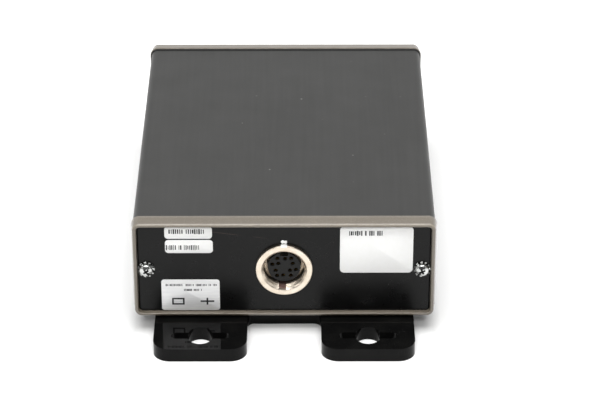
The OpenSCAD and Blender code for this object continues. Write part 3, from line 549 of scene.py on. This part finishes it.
for side, turn in ends:
    settle(bezelPiece(side + "Bezel", turn), "bezel", side + "_bezel")
    # painted shade: a black ring in the seam between the tube and the bezel
    settle(shadeRingPiece(side + "Gasket", turn, bezel["shadeRingCreep"][side]), "seal", side + "_bezel")
print("bezels made")


# End panels: flat filled curves with rounded edges and holes

panel = {
    "gap": 0.2 * mm,           # round the panel in its window
    "thick": 1.6 * mm,
    "edge": 0.45 * mm,         # round on the sheet's cut edges
    "screwHole": 1.7 * mm,
    "screwInset": 4.4 * mm,    # from the tube's side to the screw
    "barrelHole": 8.0 * mm,
    "jackHole": 1.6 * mm,
    "jackSpacing": 33.3 * mm,
    "plugWide": 25.5 * mm,     # opening for the plug socket
    "plugTall": 8.8 * mm,
    "plugRadius": 2.65 * mm,
    "plugSlope": 10,
}


def roundHole(x, y, radius, steps=48):
    angles = [2 * math.pi * i / steps for i in range(steps)]
    return [(x + radius * math.cos(a), y + radius * math.sin(a)) for a in angles]


def plugHole():
    # a D outline: straight long sides, ends that lean in towards the bottom
    radius, slope = panel["plugRadius"], panel["plugSlope"]
    x, y = panel["plugWide"] / 2 - radius, panel["plugTall"] / 2 - radius
    lean = 2 * y * math.tan(math.radians(slope))
    corners = ((x, y, -slope, 90), (-x, y, 90, 180 + slope),
               (-x + lean, -y, 180 + slope, 270), (x - lean, -y, 270, 360 - slope))
    points = []
    for cx, cy, start, stop in corners:
        for i in range(9):
            a = math.radians(start + (stop - start) * i / 8)
            points.append((cx + radius * math.cos(a), cy + radius * math.sin(a)))
    return points


def panelPiece(name, turn, holes):
    p = panel
    wide = tubeWidth - 2 * (bezel["rim"] + p["gap"])
    tall = tubeHeight - 2 * (bezel["rim"] + p["gap"])
    curve = bpy.data.curves.new(name, "CURVE")
    curve.dimensions, curve.fill_mode = "2D", "BOTH"
    curve.extrude = p["thick"] / 2 - p["edge"]
    curve.bevel_depth, curve.bevel_resolution, curve.offset = p["edge"], 2, -p["edge"]
    for outline in [ringLoop(wide, tall, bezel["windowRadius"] - p["gap"], 8)] + holes:
        spline = curve.splines.new("POLY")
        spline.points.add(len(outline) - 1)
        for point, (x, y) in zip(spline.points, outline):
            point.co = (x, y, 0, 1)
        spline.use_cyclic_u = True
    flat = linked(name + "Curve", curve)
    mesh = plainMesh(flat)
    bpy.data.objects.remove(flat)
    mesh.transform(Matrix.Translation((0, 0, panelDepth - p["thick"] / 2)))
    return ownPiece(name, mesh, "panel", endFrame(turn), 40)


screwX = tubeWidth / 2 - panel["screwInset"]
jackX = panel["jackSpacing"] / 2
screwHoles = [roundHole(x, 0, panel["screwHole"]) for x in (-screwX, screwX)]
frontHoles = [roundHole(0, 0, panel["barrelHole"], 96)]
rearHoles = [roundHole(x, 0, panel["jackHole"]) for x in (-jackX, jackX)] + [plugHole()]
settle(panelPiece("frontPanel", 0, screwHoles + frontHoles), "panel", "front_panel")
settle(panelPiece("rearPanel", 180, screwHoles + rearHoles), "panel", "rear_panel")
print("panels made")


# Sensor socket's shell: rings round the axis, with a real screw thread in the mouth

socket = {
    "flangeRound": 0.4 * mm,
    "faceProud": 0.3 * mm,      # crown of the flange over its plain thickness
    "bore": 7.1 * mm,
    "mouthBreak": 0.8 * mm,
    "lip": (0.12 * mm, 0.06 * mm),  # fine edge from the face into the break: across, deep
    "threadDepth": 0.3 * mm,
    "threadPitch": 1.0 * mm,
    "threadTurns": 4,
    "threadSteps": 10,          # rings to a turn
    "threadSteep": 1.35,        # over 1 leaves a flat at the bottom of the thread
    "threadFlat": 0.1,          # over 0 leaves a flat on its crest
    "threadEnds": (0.05 * mm, 0.15 * mm),  # rise into the break, and plain bore after the last turn
    "shoulderDepth": 7.3 * mm,  # behind the flange's face
    "shoulder": 6.1 * mm,
    "shoulderThick": 1 * mm,
    "faceGroove": (6.7 * mm, 6.3 * mm, 0.7 * mm),  # ring in the shoulder: outside, inside, depth
    "rearBore": 6.75 * mm,
    "barrel": 7.95 * mm,
    "grooveWidth": 2.4 * mm,    # key groove at the bottom of the mouth
    "grooveDepth": 0.5 * mm,
    "grooveTurn": -5,
    "wallHalf": 0.15,           # degrees that the groove's walls lean either way
    "wallClear": 0.6,           # degrees kept free of other points beside them
    "around": 144,
    "stripThick": 0.12 * mm,    # strip on the groove's floor, carrying that painted reflection
    "stripSunk": 0.02 * mm,
    "stripEnds": (0.1 * mm, 2.2 * mm),  # it stops this short of the break and of the shoulder
}
shellLow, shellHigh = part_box("receptacle_shell")
flange = (shellHigh.x - shellLow.x) / 2
flangeFace = tubeLow.y - shellLow.y + socket["faceProud"]
grooveMiddle = 270 + socket["grooveTurn"]
grooveHalf = math.degrees(math.asin(socket["grooveWidth"] / 2 / socket["bore"]))


def socketShell():
    s = socket
    walls = (grooveMiddle - grooveHalf, grooveMiddle + grooveHalf)
    angles = [360 * i / s["around"] for i in range(s["around"])]
    angles = [a for a in angles if min(abs(a - wall) for wall in walls) > s["wallClear"]]
    angles = sorted(angles + [wall + way * s["wallHalf"] for wall in walls for way in (-1, 1)])

    def ring(radius, height, grooved=False, threaded=False):
        points = []
        for a in angles:
            r = radius
            if threaded:
                phase = (height / s["threadPitch"] + a / 360) % 1
                rise = s["threadSteep"] * abs(2 * phase - 1) - s["threadFlat"]
                r += s["threadDepth"] * min(1, max(0, rise))
            if grooved and abs(a - grooveMiddle) < grooveHalf:
                r = max(r, s["bore"] + s["grooveDepth"])
            points.append(pointAt(r, math.radians(a), height))
        return points

    bore, mouth = s["bore"], s["bore"] + s["mouthBreak"]
    top, floor = flangeFace - s["mouthBreak"], flangeFace - s["shoulderDepth"]
    back, end = floor - s["shoulderThick"], tubeLow.y - shellHigh.y
    outside, inside, deep = s["faceGroove"]
    rows = [(s["barrel"], end), (s["barrel"], panelDepth), (flange, panelDepth)]
    rows += [(flange - s["flangeRound"] * far, flangeFace - s["flangeRound"] * near)
             for near, far in quarter(5)]
    rows += [(mouth + s["lip"][0], flangeFace), (mouth, flangeFace - s["lip"][1], True),
             (bore + s["threadEnds"][0], top, True)]
    rows += [(bore, top - i * s["threadPitch"] / s["threadSteps"], True, True)
             for i in range(1, s["threadTurns"] * s["threadSteps"] + 1)]
    rows += [(bore, top - s["threadTurns"] * s["threadPitch"] - s["threadEnds"][1], True),
             (bore, floor), (outside, floor), (outside, floor - deep), (inside, floor - deep),
             (inside, floor), (s["shoulder"], floor), (s["shoulder"], back),
             (s["rearBore"], back), (s["rearBore"], end)]
    bm = bmesh.new()
    skin(bm, [ring(*row) for row in rows])
    return meshPiece("socketShell", bm, "nickel", endFrame(0), 30)


def keyGrooveFloor():
    # a thin curved strip along the bottom of the key groove
    s = socket
    radius = s["bore"] + s["grooveDepth"]
    inner, outer = radius - s["stripThick"], radius + s["stripSunk"]
    front = flangeFace - s["mouthBreak"] - s["stripEnds"][0]
    back = flangeFace - s["shoulderDepth"] + s["stripEnds"][1]
    half = grooveHalf - s["wallClear"]
    loops = []
    for i in range(9):
        a = math.radians(grooveMiddle + half * (i / 4 - 1))
        loops.append([pointAt(r, a, height) for r, height in (
            (inner, front), (outer, front), (outer, back), (inner, back))])
    bm = bmesh.new()
    solidBar(bm, loops)
    return meshPiece("keyGrooveFloor", bm, "groove", endFrame(0), 40)


settle(socketShell(), "nickel", "receptacle_shell")
# painted reflection: the reddish strip on the key groove's floor
settle(keyGrooveFloor(), "nickel")


# Insert of the sensor socket: nodes cut a countersunk hole at each contact

insert = {
    "Nose Radius": 5.75 * mm,
    "Nose Length": 8 * mm,
    "Hole Radius": 0.62 * mm,
    "Hole Depth": 6 * mm,      # half of it is cut, the rest stands in front of the face
    "Sink Radius": 0.82 * mm,
    "Sink Depth": 0.2 * mm,
    "Key Width": 2.8 * mm,
    "Key Height": 2.5 * mm,    # the keyway's cutter is centred on the nose's edge, so half is cut
    "Key Length": 8 * mm,      # and the same along the nose
}
halfPattern = [(-4.15, 1.1), (-2.35, 3.45), (-2.05, 1.4), (0.35, 3.35), (2.5, 3.5), (3, 1.4)]
contactPlaces = halfPattern + [(-x, -y) for x, y in halfPattern]


def insertTree():
    tree, given = nodeTree("contactHoles", insert)
    nose = addNode(tree, "GeometryNodeMeshCylinder", {
        "Vertices": 128, "Radius": given["Nose Radius"], "Depth": given["Nose Length"]})
    drill = addNode(tree, "GeometryNodeMeshCylinder", {
        "Vertices": 24, "Radius": given["Hole Radius"], "Depth": given["Hole Depth"]})
    sink = addNode(tree, "GeometryNodeMeshCone", {
        "Vertices": 24, "Radius Top": given["Sink Radius"], "Radius Bottom": given["Hole Radius"],
        "Depth": given["Sink Depth"]})
    keySize = addNode(tree, "ShaderNodeCombineXYZ", {
        0: given["Key Width"], 1: given["Key Height"], 2: given["Key Length"]})
    key = addNode(tree, "GeometryNodeMeshCube", {"Size": keySize.outputs[0]})
    placed = []
    for shape, axis, size, share in (
            (nose, 2, "Nose Length", -0.5),    # its face lies where the points are
            (sink, 2, "Sink Depth", -0.999),   # its top is a hair proud, for a clean cut
            (key, 1, "Nose Radius", 1)):
        reach = addNode(tree, "ShaderNodeMath", {0: given[size], 1: share}, operation="MULTIPLY")
        shift = addNode(tree, "ShaderNodeCombineXYZ", {axis: reach.outputs[0]})
        placed.append(addNode(tree, "GeometryNodeTransform", {
            "Geometry": shape.outputs[0], "Translation": shift.outputs[0]}).outputs[0])
    solid, sunk, keyway = placed
    holes = [addNode(tree, "GeometryNodeInstanceOnPoints", {
        "Points": given["Geometry"], "Instance": cutter}).outputs[0]
        for cutter in (drill.outputs[0], sunk)]
    for cutter in holes + [keyway]:
        solid = addNode(tree, "GeometryNodeMeshBoolean", {
            "Mesh 1": solid, "Mesh 2": cutter}, operation="DIFFERENCE", solver="EXACT").outputs[0]
    return closeTree(tree, solid, "insulator")


insertFace = tubeLow.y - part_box("receptacle_insert")[0].y
nose = grow("socketInsert", insertTree(), insert, [(x * mm, y * mm, 0) for x, y in contactPlaces],
            "insulator", endFrame(0) @ Matrix.Translation((0, 0, insertFace)), 30)
settle(nose, "insulator", "receptacle_insert")
print("sensor socket made")


# End screws: one turned head with a cross recess, set at each hole by nodes

screw = {
    "headRadius": 2.35 * mm,
    "headHeight": 1.75 * mm,
    "seatDepth": 1.9 * mm,     # from the solid's outermost point down to the washer
    "sideHeight": 0.35 * mm,
    "lowerEdge": 0.12 * mm,    # break on the head's lower edge
    "shoulderRound": 0.7 * mm,
    "shoulderTurn": 78,        # degrees that the shoulder turns through before the crown
    "crown": 0.5 * mm,         # rise of the top's middle
    "shankRadius": 1.5 * mm,
    "length": 12 * mm,
    "tip": 0.3 * mm,           # break on the shank's end
    "crossLength": 2.4 * mm,
    "crossWidth": 0.72 * mm,
    "crossDepth": 1.6 * mm,
    "crossTaper": (0.7, 0.8),  # shares of its length and width that are left at the bottom
    "crossOver": 0.3 * mm,     # how far its cutter stands over the head
    "shadeDown": 0.7 * mm,    # depth of the painted shade in the cross
    "shadeShare": 0.93,       # of the cross's length and width
    "shadeFoot": 0.1 * mm,    # it ends this far over the bottom
    "around": 64,
}
turns = {"First Turn": math.radians(35), "Turn Step": math.radians(-12)}
washer = {
    "Ring Radius": 1.95 * mm,  # middle of the ring's band
    "Band": 0.5 * mm,
    "Sheet": 0.4 * mm,
    "Tooth Count": 11,
    "Tooth Width": 0.8 * mm,
    "Tooth Reach": 1.05 * mm,
    "Outer Radius": 3.05 * mm,
    "Twist": math.radians(26),
}


def crossBar(bm, number, top, foot):
    # one of the cross's two bars, by its length, width and height at each end
    made = bmesh.ops.create_cube(bm, size=1)["verts"]
    for v in made:
        length, width, height = top if v.co.z > 0 else foot
        v.co = (v.co.x * length, v.co.y * width, height)
    bmesh.ops.transform(bm, matrix=Matrix.Rotation(math.radians(90 * number), 4, "Z"), verts=made)


def turnedHead():
    # head and shank turned from one profile, then cut by the cross
    s = screw
    profile = [(0.0, -s["length"]), (s["shankRadius"] - s["tip"], -s["length"]),
               (s["shankRadius"], -s["length"] + s["tip"]), (s["shankRadius"], 0.0),
               (s["headRadius"] - s["lowerEdge"], 0.0), (s["headRadius"], s["lowerEdge"])]
    flat = s["headRadius"] - s["shoulderRound"]
    tall = s["headHeight"] - s["crown"] - s["sideHeight"]
    for i in range(8):
        a = math.radians(s["shoulderTurn"] * i / 7)
        profile.append((flat + s["shoulderRound"] * math.cos(a),
                        s["sideHeight"] + tall * math.sin(a)))
    edge, level = profile[-1]
    for i in range(1, 6):
        r = edge * (1 - i / 5)
        profile.append((r, level + (s["headHeight"] - level) * (1 - (r / edge) ** 2)))
    bm = bmesh.new()
    skin(bm, [[pointAt(r, 2 * math.pi * k / s["around"], height) for k in range(s["around"])]
              for r, height in profile], False)
    head = linked("turnedHead", meshFrom("turnedHead", bm))
    top = (s["crossLength"], s["crossWidth"], s["headHeight"] + s["crossOver"])
    foot = (s["crossLength"] * s["crossTaper"][0], s["crossWidth"] * s["crossTaper"][1],
            s["headHeight"] - s["crossDepth"])
    cutters = []
    for number in range(2):
        bm = bmesh.new()
        crossBar(bm, number, top, foot)
        cutters.append(linked("crossCut", meshFrom("crossCut", bm, False)))
        boolean = head.modifiers.new("cross", "BOOLEAN")
        boolean.operation, boolean.solver, boolean.object = "DIFFERENCE", "EXACT", cutters[-1]
    cutHead = plainMesh(head)
    for thing in cutters + [head]:
        bpy.data.objects.remove(thing)
    return linked("screwMaster", cutHead)


def paintedShadeCross():
    # a near-black cross of painted shade that fills the bottom of the recess
    s = screw
    length, width = s["crossLength"] * s["shadeShare"], s["crossWidth"] * s["shadeShare"]
    bm = bmesh.new()
    for number in range(2):
        crossBar(bm, number, (length, width, s["headHeight"] - s["shadeDown"]),
                 (length, width, s["headHeight"] - (s["crossDepth"] - s["shadeFoot"])))
    return linked("greaseMaster", meshFrom("paintedShadeCross", bm, False))


def turnedTree(name, master, finish):
    # a copy of the master at each point, each turned a step further than the last
    tree, given = nodeTree(name, turns)
    source = addNode(tree, "GeometryNodeObjectInfo", {"Object": master})
    index = addNode(tree, "GeometryNodeInputIndex")
    more = addNode(tree, "ShaderNodeMath", {
        0: index.outputs[0], 1: given["Turn Step"]}, operation="MULTIPLY")
    angle = addNode(tree, "ShaderNodeMath", {
        0: more.outputs[0], 1: given["First Turn"]}, operation="ADD")
    euler = addNode(tree, "ShaderNodeCombineXYZ", {2: angle.outputs[0]})
    turned = addNode(tree, "FunctionNodeEulerToRotation", {0: euler.outputs[0]})
    copies = addNode(tree, "GeometryNodeInstanceOnPoints", {
        "Points": given["Geometry"], "Instance": source.outputs["Geometry"],
        "Rotation": turned.outputs[0]})
    return closeTree(tree, copies.outputs[0], finish)


def washerTree():
    # a flat ring with twisted teeth round it, at each point
    tree, given = nodeTree("toothedWasher", washer)
    band = addNode(tree, "GeometryNodeCurvePrimitiveCircle", {
        "Resolution": 64, "Radius": given["Ring Radius"]})
    strip = addNode(tree, "GeometryNodeCurvePrimitiveQuadrilateral", {
        "Width": given["Band"], "Height": given["Sheet"]})
    ring = addNode(tree, "GeometryNodeCurveToMesh", {
        "Curve": band.outputs[0], "Profile Curve": strip.outputs[0]})
    shift = addNode(tree, "ShaderNodeMath", {0: given["Tooth Reach"], 1: 0.5}, operation="MULTIPLY")
    middle = addNode(tree, "ShaderNodeMath", {
        0: given["Outer Radius"], 1: shift.outputs[0]}, operation="SUBTRACT")
    spots = addNode(tree, "GeometryNodeMeshCircle", {
        "Vertices": given["Tooth Count"], "Radius": middle.outputs[0]})
    size = addNode(tree, "ShaderNodeCombineXYZ", {
        0: given["Tooth Reach"], 1: given["Tooth Width"], 2: given["Sheet"]})
    tooth = addNode(tree, "GeometryNodeMeshCube", {"Size": size.outputs[0]})
    index = addNode(tree, "GeometryNodeInputIndex")
    share = addNode(tree, "ShaderNodeMath", {
        0: index.outputs[0], 1: given["Tooth Count"]}, operation="DIVIDE")
    angle = addNode(tree, "ShaderNodeMath", {
        0: share.outputs[0], 1: 2 * math.pi}, operation="MULTIPLY")
    euler = addNode(tree, "ShaderNodeCombineXYZ", {0: given["Twist"], 2: angle.outputs[0]})
    turned = addNode(tree, "FunctionNodeEulerToRotation", {0: euler.outputs[0]})
    teeth = addNode(tree, "GeometryNodeInstanceOnPoints", {
        "Points": spots.outputs[0], "Instance": tooth.outputs[0], "Rotation": turned.outputs[0]})
    whole = addNode(tree, "GeometryNodeJoinGeometry", {0: ring.outputs[0]})
    tree.links.new(teeth.outputs[0], whole.inputs[0])
    copies = addNode(tree, "GeometryNodeInstanceOnPoints", {
        "Points": given["Geometry"], "Instance": whole.outputs[0]})
    return closeTree(tree, copies.outputs[0], "steel")


head, shadeMaster = turnedHead(), paintedShadeCross()
setScrews = turnedTree("endScrews", head, "steel")
setShadeCross = turnedTree("crossPaintedShade", shadeMaster, "paintedShade")
setWashers = washerTree()
for side, turn in ends:
    low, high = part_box(side + "_screws")
    reach = (tubeLow.y - low.y) if side == "front" else (high.y - tubeHigh.y)
    seat = reach - screw["seatDepth"]
    seats = [(x, 0, seat) for x in (-screwX, screwX)]
    under = [(x, 0, (panelDepth + seat) / 2) for x in (-screwX, screwX)]
    screws = grow(side + "Screws", setScrews, turns, seats, "steel", endFrame(turn))
    settle(screws, "steel", side + "_screws")
    # painted shade in the bottom of each cross recess
    shadeFill = grow(side + "ScrewGrease", setShadeCross, turns, seats, "paintedShade", endFrame(turn))
    settle(shadeFill, "steel")
    rings = grow(side + "Washers", setWashers, washer, under, "steel", endFrame(turn), 25)
    settle(rings, "steel", side + "_lock_washers")
for thing in (head, shadeMaster):
    bpy.data.objects.remove(thing)
print("screws and washers set")


# Labels on the front panel: film with round corners, and plain bars where print would be

labels = {
    "film": 0.1 * mm,
    "ink": 0.02 * mm,
    "edge": 0.03 * mm,         # round on the film's upper edge
    "leastRadius": 0.05 * mm,
    # left, right, low, high and corner radius of each, in mm from the socket's axis
    "white": [(-41.4, -24.9, 12.15, 17.0, 1.2), (-41.3, -24.7, 6.4, 11.65, 1.2),
              (19.4, 44.8, -1.65, 17.0, 1.6)],
    "silver": [(-43.0, -22.6, -17.0, -4.4, 1.0)],
    # plain marks on the silver label, the same way
    "marks": [(-39.4, -35.0, -14.7, -14.1, 0.1), (-39.4, -35.0, -12.5, -11.9, 0.1),
              (-39.4, -38.8, -14.7, -11.9, 0.1), (-35.6, -35.0, -14.7, -11.9, 0.1),
              (-29.4, -24.6, -13.6, -12.95, 0.1), (-27.3, -26.7, -14.7, -11.9, 0.1)],
    # rows of generic print: left end, foot, height, ticks, pitch, tick width
    "rows": [(-39.7, 14.0, 2.1, 17, 0.74, 0.44), (-40.8, 7.6, 2.1, 19, 0.62, 0.32),
             (22.7, 13.3, 2.0, 18, 0.7, 0.42), (-41.3, -7.1, 0.95, 36, 0.5, 0.27),
             (-35.0, -9.1, 0.95, 13, 0.5, 0.27)],
    "wordGaps": 0.16,          # share of the ticks left out
    "tickLeast": (0.6, 0.72, 1.0),  # width, height and thickness of a tick vary between these
    "tickMost": (1.5, 1.0, 1.0),
}
inkBase = panelDepth + labels["film"]


def filmPiece(name, places, base, thick, finish):
    edge = min(labels["edge"], thick / 2)
    bm = bmesh.new()
    for left, right, low, high, radius in places:
        cx, cy = (left + right) / 2 * mm, (low + high) / 2 * mm
        loops = []
        for inset, height in ((0, base), (0, base + thick - edge), (edge, base + thick)):
            outline = ringLoop((right - left) * mm - 2 * inset, (high - low) * mm - 2 * inset,
                               max(radius * mm - inset, labels["leastRadius"]), 6)
            loops.append([(cx + x, cy + y, height) for x, y in outline])
        solidBar(bm, loops)
    return meshPiece(name, bm, finish, endFrame(0), 60)


for name, places, finish in (("whiteLabels", labels["white"], "label"),
                             ("silverLabel", labels["silver"], "silver")):
    film = filmPiece(name, places, panelDepth, labels["film"], finish)
    settle(film, "label", "front_labels")
settle(filmPiece("labelMarks", labels["marks"], inkBase, labels["ink"], "ink"), "label")


def printTree():
    # a row of upright ticks of uneven width, with gaps like those between words
    inputs = {"Ticks": 10, "Pitch": 0.7 * mm, "Tick Width": 0.3 * mm, "Tick Height": 2 * mm,
              "Ink": labels["ink"], "Seed": 1}
    tree, given = nodeTree("printRow", inputs)
    step = addNode(tree, "ShaderNodeCombineXYZ", {0: given["Pitch"]})
    row = addNode(tree, "GeometryNodeMeshLine", {
        "Count": given["Ticks"], "Offset": step.outputs[0]})
    chance = addNode(tree, "FunctionNodeRandomValue", {
        "Probability": labels["wordGaps"], "Seed": given["Seed"]}, data_type="BOOLEAN")
    kept = addNode(tree, "GeometryNodeDeleteGeometry", {
        "Geometry": row.outputs[0], "Selection": chance.outputs[3]}, domain="POINT")
    size = addNode(tree, "ShaderNodeCombineXYZ", {
        0: given["Tick Width"], 1: given["Tick Height"], 2: given["Ink"]})
    tick = addNode(tree, "GeometryNodeMeshCube", {"Size": size.outputs[0]})
    stretch = addNode(tree, "FunctionNodeRandomValue", {
        "Min": labels["tickLeast"], "Max": labels["tickMost"], "Seed": given["Seed"]},
        data_type="FLOAT_VECTOR")
    ticks = addNode(tree, "GeometryNodeInstanceOnPoints", {
        "Points": kept.outputs[0], "Instance": tick.outputs[0], "Scale": stretch.outputs[0]})
    return closeTree(tree, ticks.outputs[0], "ink")


rowTree = printTree()
for number, (left, foot, tall, ticks, pitch, wide) in enumerate(labels["rows"]):
    place = endFrame(0) @ Matrix.Translation(
        (left * mm, (foot + tall / 2) * mm, inkBase + labels["ink"] / 2))
    row = grow("printRow" + str(number + 1), rowTree, {
        "Ticks": ticks, "Pitch": pitch * mm, "Tick Width": wide * mm, "Tick Height": tall * mm,
        "Ink": labels["ink"], "Seed": number + 3}, [(0, 0, 0)], "ink", place)
    settle(row, "label")
print("labels made")


# Index mark: two touching dabs of white paint on the panel and one over the flange's edge

mark = {
    "dabs": [(-0.5, 10.8, 0.62, 0.72), (0.42, 10.7, 0.68, 0.68)],  # centre and half sizes, in mm
    "height": 0.12 * mm,
    "edgeWidth": 1.1 * mm,     # half the width of the dab over the edge
    "edgeReach": 0.6 * mm,     # how far it comes over the flange's face
    "edgeTaper": 0.35,         # share of that reach lost at its ends
    "edgeThick": 0.05 * mm,
    "edgeFoot": 0.25 * mm,     # it stops this far over the panel
}


def indexMark():
    bm = bmesh.new()
    for x, y, wide, tall in mark["dabs"]:
        loops = []
        for i in range(6):
            a = math.radians(90 * i / 6)
            size, height = math.cos(a), panelDepth + mark["height"] * math.sin(a)
            loops.append([((x + wide * size * math.cos(k * math.pi / 16)) * mm,
                           (y + tall * size * math.sin(k * math.pi / 16)) * mm, height)
                          for k in range(32)])
        solidBar(bm, loops)
    # outer side over the flange's rounded edge, hidden side sunk in the metal
    thick, edge, sunk = mark["edgeThick"], socket["flangeRound"], 0.1 * mm
    foot = panelDepth + mark["edgeFoot"]
    loops = []
    for i in range(13):
        share = i / 12 * 2 - 1
        a = math.radians(90) - share * mark["edgeWidth"] / flange
        lap = flange - mark["edgeReach"] * (1 - mark["edgeTaper"] * share * share)
        loops.append([pointAt(r, a, height) for r, height in (
            (lap - 0.06 * mm, flangeFace - sunk), (lap, flangeFace + thick * 0.4),
            (flange - edge, flangeFace + thick), (flange - sunk, flangeFace - sunk + thick),
            (flange + thick, flangeFace - edge), (flange + thick * 0.4, foot),
            (flange - sunk, foot), (flange - 0.5 * mm, flangeFace - 0.5 * mm))])
    solidBar(bm, loops)
    return meshPiece("indexMark", bm, "paint", endFrame(0), 50)


settle(indexMark(), "label")
print("index mark made")


# Floor, world, lamps and camera

stage = {
    "half": 3.0,               # of the floor's side
    "drop": 0.05 * mm,         # floor under the part
    "paper": (0.75, 0.75, 0.745, 1),
    # the paper glows where it is looked at or mirrored, so that it is white away from the part;
    # each step is a distance from the box in metres, a further one, and the glow at each
    # painted shade: the glow is held low under and beside the box, so the floor there stays darker
    # than further out, over the real shadow
    "glow": [(0.0, 0.003, 0.03, 0.24), (0.003, 0.03, 0.0, 0.16), (0.1, 0.7, 0.0, 0.6)],
}
floorMesh = bpy.data.meshes.new("floor")
half, drop = stage["half"], stage["drop"]
floorMesh.from_pydata([(-half, -half, -drop), (half, -half, -drop), (half, half, -drop),
                       (-half, half, -drop)], [], [(0, 1, 2, 3)])
paper = bpy.data.materials.new("whitePaper")
paper.use_nodes = True
tree = paper.node_tree
tree.nodes.clear()
lit = addNode(tree, "ShaderNodeBsdfDiffuse", {"Color": stage["paper"]})
spot = addNode(tree, "ShaderNodeSeparateXYZ", {0: laidOut(tree)})
sides = []
for axis, reach in (("X", tubeHigh.x), ("Y", tubeHigh.y + bezelDepth)):
    off = addNode(tree, "ShaderNodeMath", {0: spot.outputs[axis]}, operation="ABSOLUTE")
    sides.append(addNode(tree, "ShaderNodeMath", {
        0: off.outputs[0], 1: reach}, operation="SUBTRACT"))
away = addNode(tree, "ShaderNodeMath", {
    0: sides[0].outputs[0], 1: sides[1].outputs[0]}, operation="MAXIMUM")
steps = [addNode(tree, "ShaderNodeMapRange", {
    "Value": away.outputs[0], "From Min": near, "From Max": far, "To Min": least, "To Max": most})
    for near, far, least, most in stage["glow"]]
glow = steps[0]
for step in steps[1:]:
    glow = addNode(tree, "ShaderNodeMath", {
        0: glow.outputs[0], 1: step.outputs[0]}, operation="ADD")
path = addNode(tree, "ShaderNodeLightPath")
looked = addNode(tree, "ShaderNodeMath", {
    0: path.outputs["Is Camera Ray"], 1: path.outputs["Is Glossy Ray"]}, operation="MAXIMUM")
shown = addNode(tree, "ShaderNodeMath", {
    0: looked.outputs[0], 1: glow.outputs[0]}, operation="MULTIPLY")
extra = addNode(tree, "ShaderNodeEmission", {"Color": (1, 1, 1, 1), "Strength": shown.outputs[0]})
total = addNode(tree, "ShaderNodeAddShader", {0: lit.outputs[0], 1: extra.outputs[0]})
addNode(tree, "ShaderNodeOutputMaterial", {"Surface": total.outputs[0]})
floorMesh.materials.append(paper)
linked("floor", floorMesh)

room = {
    "light": 0.24,             # what the part is lit by from all round
    "mirrored": (0.1, 1.0),    # what gloss and metal see: a dim room, and white paper behind
    "behind": (-0.1, 0.25),    # the paper begins between these, from front to back
    "below": (0.68, 0.85),     # and ends between these, upwards
    "seen": 1.0,               # what is looked at directly
}
world = bpy.data.worlds.new("paleRoom")
bpy.context.scene.world = world
world.use_nodes = True
tree = world.node_tree
tree.nodes.clear()
path = addNode(tree, "ShaderNodeLightPath")
heading = addNode(tree, "ShaderNodeTexCoord")
up = addNode(tree, "ShaderNodeSeparateXYZ", {0: heading.outputs["Generated"]})
behind = addNode(tree, "ShaderNodeMapRange", {
    "Value": up.outputs["Y"], "From Min": room["behind"][0], "From Max": room["behind"][1],
    "To Min": 0.0, "To Max": 1.0})
below = addNode(tree, "ShaderNodeMapRange", {
    "Value": up.outputs["Z"], "From Min": room["below"][0], "From Max": room["below"][1],
    "To Min": 1.0, "To Max": 0.0})
sweep = addNode(tree, "ShaderNodeMath", {
    0: behind.outputs[0], 1: below.outputs[0]}, operation="MULTIPLY")
sheet = addNode(tree, "ShaderNodeMapRange", {
    "Value": sweep.outputs[0], "To Min": room["mirrored"][0], "To Max": room["mirrored"][1]})
light, mirrored, seen = [
    addNode(tree, "ShaderNodeBackground", {"Color": (1, 1, 1, 1), "Strength": strength}).outputs[0]
    for strength in (room["light"], sheet.outputs[0], room["seen"])]
glossy = addNode(tree, "ShaderNodeMixShader", {
    0: path.outputs["Is Glossy Ray"], 1: light, 2: mirrored})
direct = addNode(tree, "ShaderNodeMath", {
    0: path.outputs["Is Camera Ray"], 1: path.outputs["Is Transmission Ray"]}, operation="MAXIMUM")
both = addNode(tree, "ShaderNodeMixShader", {0: direct.outputs[0], 1: glossy.outputs[0], 2: seen})
addNode(tree, "ShaderNodeOutputWorld", {"Surface": both.outputs[0]})

# each lamp's place, what it aims at, its size and power
lamps = {
    "overheadPanel": ((0.0, -0.1, 1.25), (0, 0, 0), (1.2, 1.0), 18.0),
    "frontPanel": ((0.0, -1.0, 0.95), (0, 0, 0.02), (0.9, 0.25), 5.4),
    "leftStrip": ((-0.9, -0.6, 0.7), (0, 0, 0.02), (0.3, 0.8), 2.0),
    "rightStrip": ((0.9, -0.65, 0.65), (0, 0, 0.02), (0.3, 0.8), 1.2),
}
for name, (place, aim, size, power) in lamps.items():
    data = bpy.data.lights.new(name, "AREA")
    data.shape, data.size, data.size_y, data.energy = "RECTANGLE", *size, power
    lamp = linked(name, data)
    lamp.location = place
    lamp.rotation_mode = "QUATERNION"
    lamp.rotation_quaternion = (Vector(aim) - Vector(place)).to_track_quat("-Z", "Y")

view = {
    "place": (5.553 * mm, -807.526 * mm, 474.160 * mm),
    "down": 29.751,            # degrees below the horizon
    "roll": -0.062,
    "lens": 148.76,
    "sensor": 36,
    "clip": (0.05, 20),
}
cameraData = bpy.data.cameras.new("camera")
cameraData.lens, cameraData.sensor_width = view["lens"], view["sensor"]
cameraData.clip_start, cameraData.clip_end = view["clip"]
camera = linked("camera", cameraData)
camera.matrix_world = (Matrix.Translation(view["place"])
                       @ Matrix.Rotation(math.radians(90 - view["down"]), 4, "X")
                       @ Matrix.Rotation(math.radians(view["roll"]), 4, "Z"))
bpy.context.scene.camera = camera
bpy.context.scene.view_settings.view_transform = "Standard"
print("stage set")
